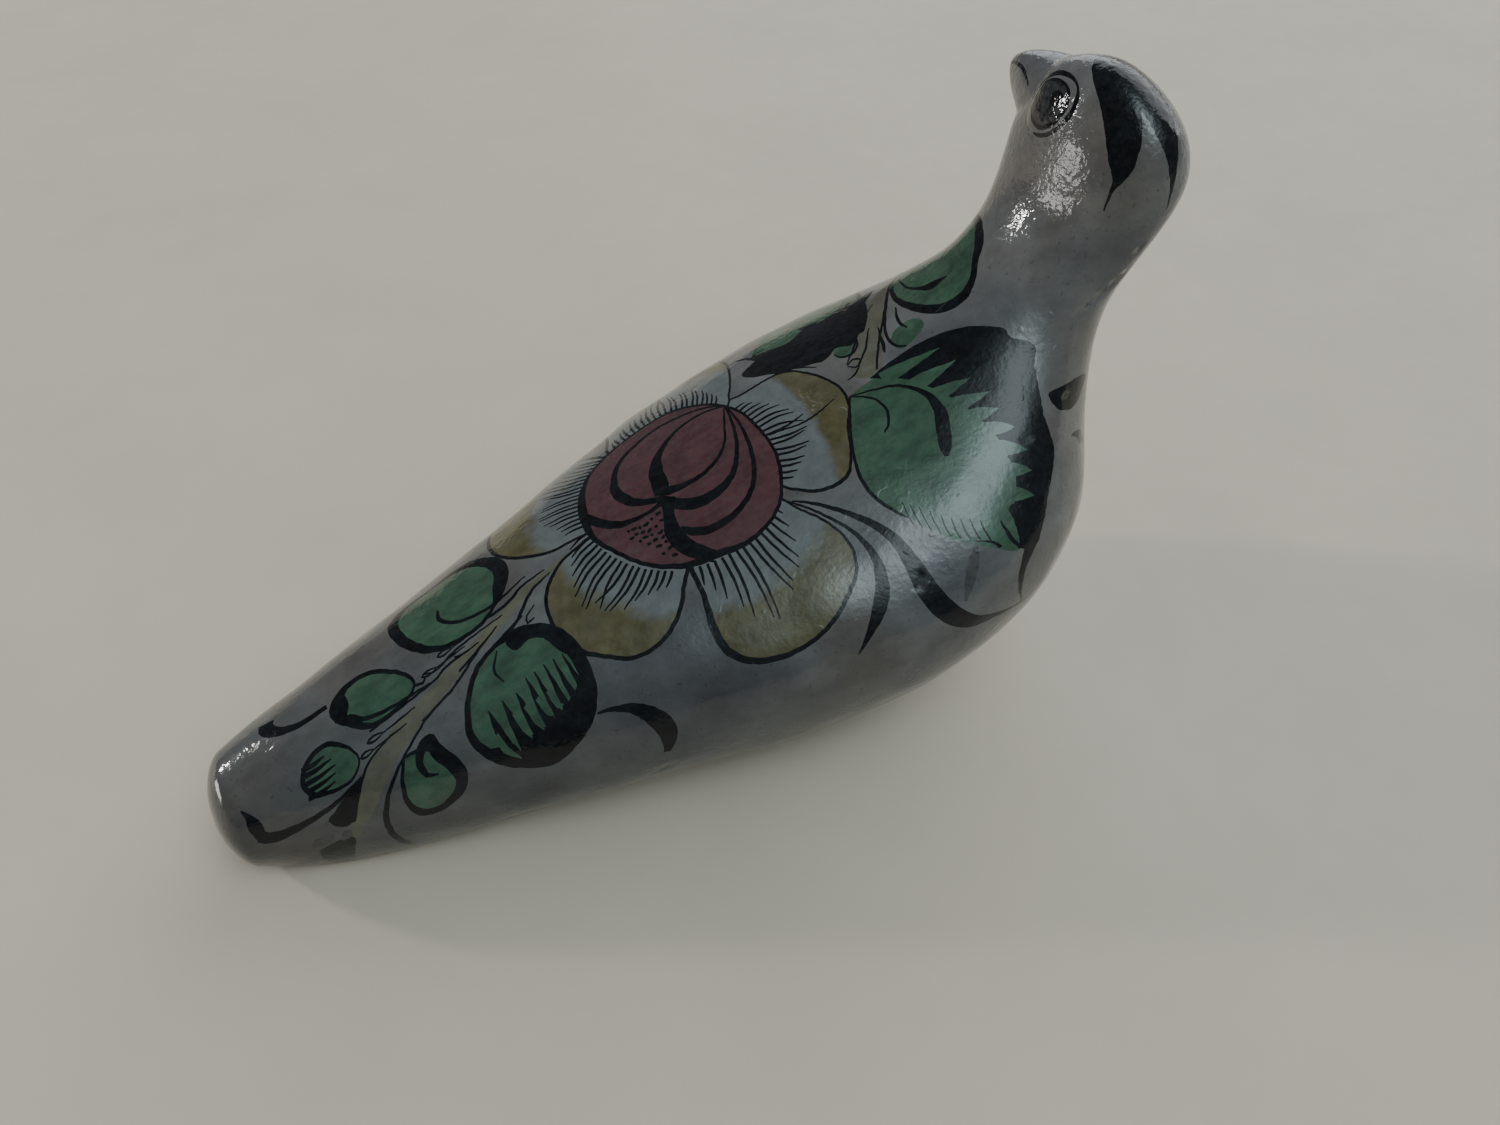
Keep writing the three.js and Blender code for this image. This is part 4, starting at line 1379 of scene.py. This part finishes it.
def eye_piece(name, flipped, stands_for):
    turn = np.linspace(0, 2 * np.pi, EYE_POINTS, endpoint=False)
    edge = np.stack([np.cos(turn), np.sin(turn)], -1) * EYE_HALF
    edge = EYE_MIDDLE + turned(edge, EYE_TILT)
    shapes = [
        (K, stroke([(248.2, -6.6, 0.4), (248.3, -8.4, 0.9), (249.8, -10, 1.0), (253, -10.6, 1.1),
                    (257, -9.5, 1.2), (259.9, -6.4, 1.3), (260.9, -2.6, 1.1), (260.2, 0.1, 0.9),
                    (257.6, 1.6, 1.0), (254.6, 1.8, 1.0), (251.8, 0.7, 0.9), (249.6, -1.4, 0.8),
                    (248.6, -3.6, 0.7), (248.4, -5, 0.3)])),
        (E, patch([(250.1, -6.2), (250, -3.4), (251.6, -1), (254, 0.3), (257, 0.1), (258.9, -1.6),
                   (258.9, -5), (257.2, -8.1), (254, -9.3), (251.1, -8.6)])),
        (K, stroke([(251.4, -8.6, 0.5), (250.1, -6.4, 0.7), (250, -3.6, 0.8), (251.5, -1.2, 0.9),
                    (254, 0.2, 0.8), (257, 0, 0.6), (258.8, -1.9, 0.6), (258.8, -5, 0.7),
                    (257.1, -8, 0.7), (254.2, -9.2, 0.5)])),
        (K, patch([(254.4, -3.4), (255.2, -1.2), (257, -1.3), (257.4, -3.2), (256, -4.4)])),
    ]

    def place(m, v):
        def lift(mm, vv):
            reach = np.clip(eye_reach(mm, mirror_v(mm, vv) if flipped else vv), 0, 1)
            return EYE_PROUD * (1 - reach**2.6) - EYE_EDGE

        return surface(m, v, lift)

    def under(m, v):
        points, normals = surface(m, v)
        return points - EYE_SUNK * normals

    if flipped:
        shapes = [(paint, mirror_outline(outline)) for paint, outline in shapes]
        edge = mirror_outline(edge)
    made(build_skin(name, skin_data(edge, shapes, under, place, 0.8)), "black_slip", stands_for)


eye_piece("left_eye_pellet", False, "eye_left")
eye_piece("right_eye_pellet", True, "eye_right")

# The beak: tip in the form's frame, length, width and height of its root, rise, bluntness, and
# the size of the smoothed clay round its root.
BEAK_TIP, BEAK_LENGTH, BEAK_ROOT = np.array([193.8, 26.7, 113.1]), 14.5, (15.4, 18.8)
BEAK_RISE, BEAK_BLUNTNESS, BEAK_FILLET = 7.0, 0.62, 1.1
# The beak has a chart of its own: millimetres from its tip, and round it, where the way round
# counts as BEAK_TURN everywhere.
BEAK_SPOKES, BEAK_TURN = 72, 48.0
# Points along the edges of its region: from the tip to the root, and round the root.
BEAK_DOWN, BEAK_ROUND = 30, 60
# The steps along it and round it over which its slopes are measured.
BEAK_STEP, BEAK_SIDESTEP = 0.25, 1.2
# A point inside the head, which tells its outside from the hollow.
HEAD_MIDDLE = (192.5, 0, 112)


def beak_line(angle, back):
    """Points of the plain cone along one spoke. back is 0 at the tip and 1 at the root."""
    radius = np.maximum(back, 0) ** BEAK_BLUNTNESS / 2
    slim = 1 - 0.16 * np.clip(back, 0, 1) * max(math.sin(angle), 0)
    x = BEAK_ROOT[0] * radius * np.cos(angle) * slim
    z = BEAK_ROOT[1] * radius * np.sin(angle) * slim
    y = -BEAK_LENGTH * back
    level, rise = math.cos(math.radians(BEAK_RISE)), math.sin(math.radians(BEAK_RISE))
    return BEAK_TIP + np.stack([x, level * y - rise * z, rise * y + level * z], -1)


def head_tree():
    """The outside of the head's skin, in the form's frame, to measure the beak's root against."""
    mesh = head.data
    points = [Vector(v.co) / MM - Vector(SHIFT) for v in mesh.vertices]
    outer_faces = [tuple(f.vertices) for f in mesh.polygons if f.normal.dot(
        f.center / MM - Vector(SHIFT) - Vector(HEAD_MIDDLE)) > 0]
    return BVHTree.FromPolygons(points, outer_faces)


def beak_spokes():
    """For each spoke, points from the tip over the cone and the smoothed root to the head."""
    tree = head_tree()
    spokes = []
    for k in range(BEAK_SPOKES):
        angle = 2 * math.pi * k / BEAK_SPOKES
        back = np.linspace(0, 1.25, 260) ** 1.5
        cone = beak_line(angle, back)
        gaps = []
        for point in cone:
            near, normal, _, _ = tree.find_nearest(Vector(point))
            gaps.append((Vector(point) - near).dot(normal))
        leave = int(np.argmax(np.array(gaps) < BEAK_FILLET))
        heading = unit(cone[leave] - cone[leave - 1])
        near, up = [np.array(q) for q in tree.find_nearest(Vector(cone[leave]))[:2]]
        slope = max(-float(heading @ up), 0.05)
        along = unit(heading - (heading @ up) * up)
        run = min(BEAK_FILLET / math.tan(math.asin(min(slope, 0.99))), 8) + BEAK_FILLET
        foot, up = [np.array(q) for q in tree.find_nearest(Vector(near + run * along))[:2]]
        along = unit(along - (along @ up) * up)
        reach = np.linalg.norm(foot - cone[leave])
        t = np.linspace(0, 1, 14)[1:, None]
        bend = [cone[leave], cone[leave] + heading * reach * 0.45, foot - along * reach * 0.45,
                foot - 0.04 * up]
        fillet = ((1 - t) ** 3 * bend[0] + 3 * t * (1 - t) ** 2 * bend[1]
                  + 3 * t * t * (1 - t) * bend[2] + t**3 * bend[3])
        spokes.append(np.concatenate([cone[:leave + 1], fillet]))
    return spokes


def even(line):
    """A line's points again, evenly spaced, and its length."""
    run = np.r_[0, np.cumsum(np.linalg.norm(np.diff(line, axis=0), axis=1))]
    at = np.linspace(0, run[-1], 60)
    return np.stack([np.interp(at, run, line[:, k]) for k in range(3)], -1), run[-1]


_even = [even(line) for line in beak_spokes()]
BEAK_GRID = np.array([line for line, _ in _even])
BEAK_REACH = float(np.mean([length for _, length in _even]))


def beak_point(s_, t):
    """A point of the beak: s_ from the tip to the root edge in mm, t round it."""
    row = np.clip(s_ / BEAK_REACH, 0, 1) * (BEAK_GRID.shape[1] - 1)
    low = np.clip(row.astype(int), 0, BEAK_GRID.shape[1] - 2)
    spoke = t / BEAK_TURN % 1 * BEAK_SPOKES
    left = spoke.astype(int) % BEAK_SPOKES
    right, a, b = (left + 1) % BEAK_SPOKES, (row - low)[:, None], (spoke % 1)[:, None]
    return ((BEAK_GRID[left, low] * (1 - a) + BEAK_GRID[left, low + 1] * a) * (1 - b)
            + (BEAK_GRID[right, low] * (1 - a) + BEAK_GRID[right, low + 1] * a) * b)


def beak_surface(s_, t):
    """Points of the beak and their normals."""
    s_ = np.asarray(s_, float)
    ahead, behind = np.minimum(s_ + BEAK_STEP, BEAK_REACH), np.maximum(s_ - BEAK_STEP, 0.02)
    along = beak_point(ahead, t) - beak_point(behind, t)
    at = np.maximum(s_, 0.05)
    across = beak_point(at, t + BEAK_SIDESTEP) - beak_point(at, t - BEAK_SIDESTEP)
    normal = unit(np.cross(across, along))
    points = beak_point(s_, t)
    outward = points - (BEAK_TIP - np.array([0, 0.7 * BEAK_LENGTH, 0]))
    normal *= np.sign((normal * outward).sum(1).mean())
    tip = (s_ < 0.4)[:, None]
    return points, np.where(tip, np.array([0, 1.0, 0]), normal)


def beak_under(s_, t):
    """The beak's hidden side, sunk into the head."""
    edge = beak_point(np.full(len(s_), BEAK_REACH), t)
    middle = BEAK_GRID[:, -1].mean(0)
    sunk = np.array([0, 1.6, 0])
    return middle + (edge - middle) * (0.94 * np.clip(s_ / BEAK_REACH, 0, 1))[:, None] - sunk


def mouth(side):
    """The mouth's black line on one side: places along the beak and round it."""
    level = 0.5 if side < 0 else 0.0
    line = [(0.05, -0.5, 2.8), (1.5, -2.2, 2.0), (3.5, -3.6, 1.4), (6, -4.2, 1.1), (8.6, -3.9, 0.9),
            (11, -3, 0.6), (12.2, -2.4, 0.3)]
    return stroke([(a, level * BEAK_TURN - side * b, w) for a, b, w in line], 0.12)


def beak_piece():
    start, end = 0.25 * BEAK_TURN, 1.25 * BEAK_TURN
    down, along = np.linspace(0, BEAK_REACH, BEAK_DOWN), np.linspace(start, end, BEAK_ROUND)
    sides = [(down, start), (BEAK_REACH, along), (down[::-1], end), (0, along[::-1])]
    region = np.concatenate([np.stack(np.broadcast_arrays(*side), -1)[:-1] for side in sides])
    shapes = [(K, mouth(-1)), (K, mouth(1) + np.array([0, BEAK_TURN]))]
    data = skin_data(region, shapes, beak_under, beak_surface, 0.9)
    made(build_skin("beak_cone", data), "burnished_clay", "beak")


beak_piece()

# The blow hole, and the slot for the air channel and the window, where the CAD part has them.
opening = {o["name"]: np.array(o["box_m"]) for o in frame["record"]["physics"]["openings"]}
hole, gap = opening["blow_hole"], opening["window"]
cover, wedge = [np.array(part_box(n)) for n in ("windway_cover", "labium_wedge")]
# They are cut this much past the boxes, this loosely round the cover and the wedge, and this deep.
edge, loose, deep = 0.1 * MM, 0.3 * MM, 6 * MM
tail_end, slot_side = CAD_BOX[0][0] - edge, cover[1][1] + loose
cut_openings(tail, [
    ((tail_end, hole[0][1] - edge, hole[0][2] - edge),
     (hole[1][0] + deep, hole[1][1] + edge, hole[1][2] + edge)),
    ((cover[0][0] - loose, -slot_side, -edge), (gap[0][0], slot_side, cover[1][2])),
    # The window's part overlaps the channel's, and no two of their sides share a plane.
    ((gap[0][0] - edge, -slot_side - edge, -2 * edge),
     (wedge[1][0] + loose, slot_side + edge, wedge[1][2] + loose)),
])

for node in ("windway_cover", "labium_wedge"):
    carried = bpy.data.objects[node].data
    carried.materials.clear()
    carried.materials.append(CLAY)

# ---------------------------------------------------------------- stage


def area_light(name, place, aim, size, power, colour):
    data = bpy.data.lights.new(name, "AREA")
    data.shape, data.size, data.size_y = "RECTANGLE", *size
    data.energy, data.color = power, colour
    light = placed(name, data)
    light.location = place
    light.rotation_euler = (Vector(aim) - Vector(place)).to_track_quat("-Z", "Y").to_euler()


bpy.ops.mesh.primitive_plane_add(size=14)
floor = bpy.context.object
floor.name = "floor"
ground = Look("pale_floor")
ground.shade("Base Color", ground.ramp(
    ground.noise(60, 4, 0.6), (0.3, (0.47, 0.40, 0.32)), (0.7, (0.51, 0.43, 0.345))))
ground.shade("Roughness", ground.ramp(ground.noise(9, 3), (0.3, 0.55), (0.7, 0.7)))
floor.data.materials.append(ground.material)

# The room: dim all round, with a soft glow overhead that the shoulder mirrors.
GLOW_WAY = Vector((0.15, -0.50, 0.85)).normalized()
world = bpy.data.worlds.new("room")
world.use_nodes = True
room = world.node_tree
background = room.nodes["Background"]
direction = room.nodes.new("ShaderNodeTexCoord").outputs["Generated"]
facing = room.nodes.new("ShaderNodeVectorMath")
facing.operation = "DOT_PRODUCT"
facing.inputs[1].default_value = GLOW_WAY
glow = room.nodes.new("ShaderNodeValToRGB")
glow.color_ramp.interpolation = "B_SPLINE"
dim, bright = glow.color_ramp.elements
dim.position, dim.color = 0.80, (0.018, 0.0185, 0.019, 1)
bright.position, bright.color = 1.0, (0.79, 0.95, 1.0, 1)
glow.color_ramp.elements.new(0.94).color = (0.135, 0.167, 0.177, 1)
room.links.new(direction, facing.inputs[0])
room.links.new(facing.outputs["Value"], glow.inputs["Fac"])
room.links.new(glow.outputs["Color"], background.inputs["Color"])
background.inputs["Strength"].default_value = 7.4
bpy.context.scene.world = world

area_light("wall", (1.9, 1.2, 1.45), (0, 0, 0.05), (4.0, 2.6), 56, (0.93, 0.97, 1.0))
area_light("window", (-1.12, 1.0, 0.60), (0, 0, 0.05), (0.11, 0.15), 9, (1, 0.97, 0.93))
area_light("doorway", (-1.15, 0.42, 0.10), (0.08, 0, 0.1), (0.5, 0.24), 3.4, (1, 0.98, 0.96))

# The camera stands where a phone held about 20 cm above the table would. Its place, angles and
# lens come from the same fit as the rings.
camera = placed("camera", bpy.data.cameras.new("camera"))
camera.location = (-0.06314, -0.15098, 0.20377)
camera.rotation_euler = (math.radians(44.2), 0, math.radians(-27.36))
camera.data.lens, camera.data.sensor_width = 27.05, 36
bpy.context.scene.camera = camera
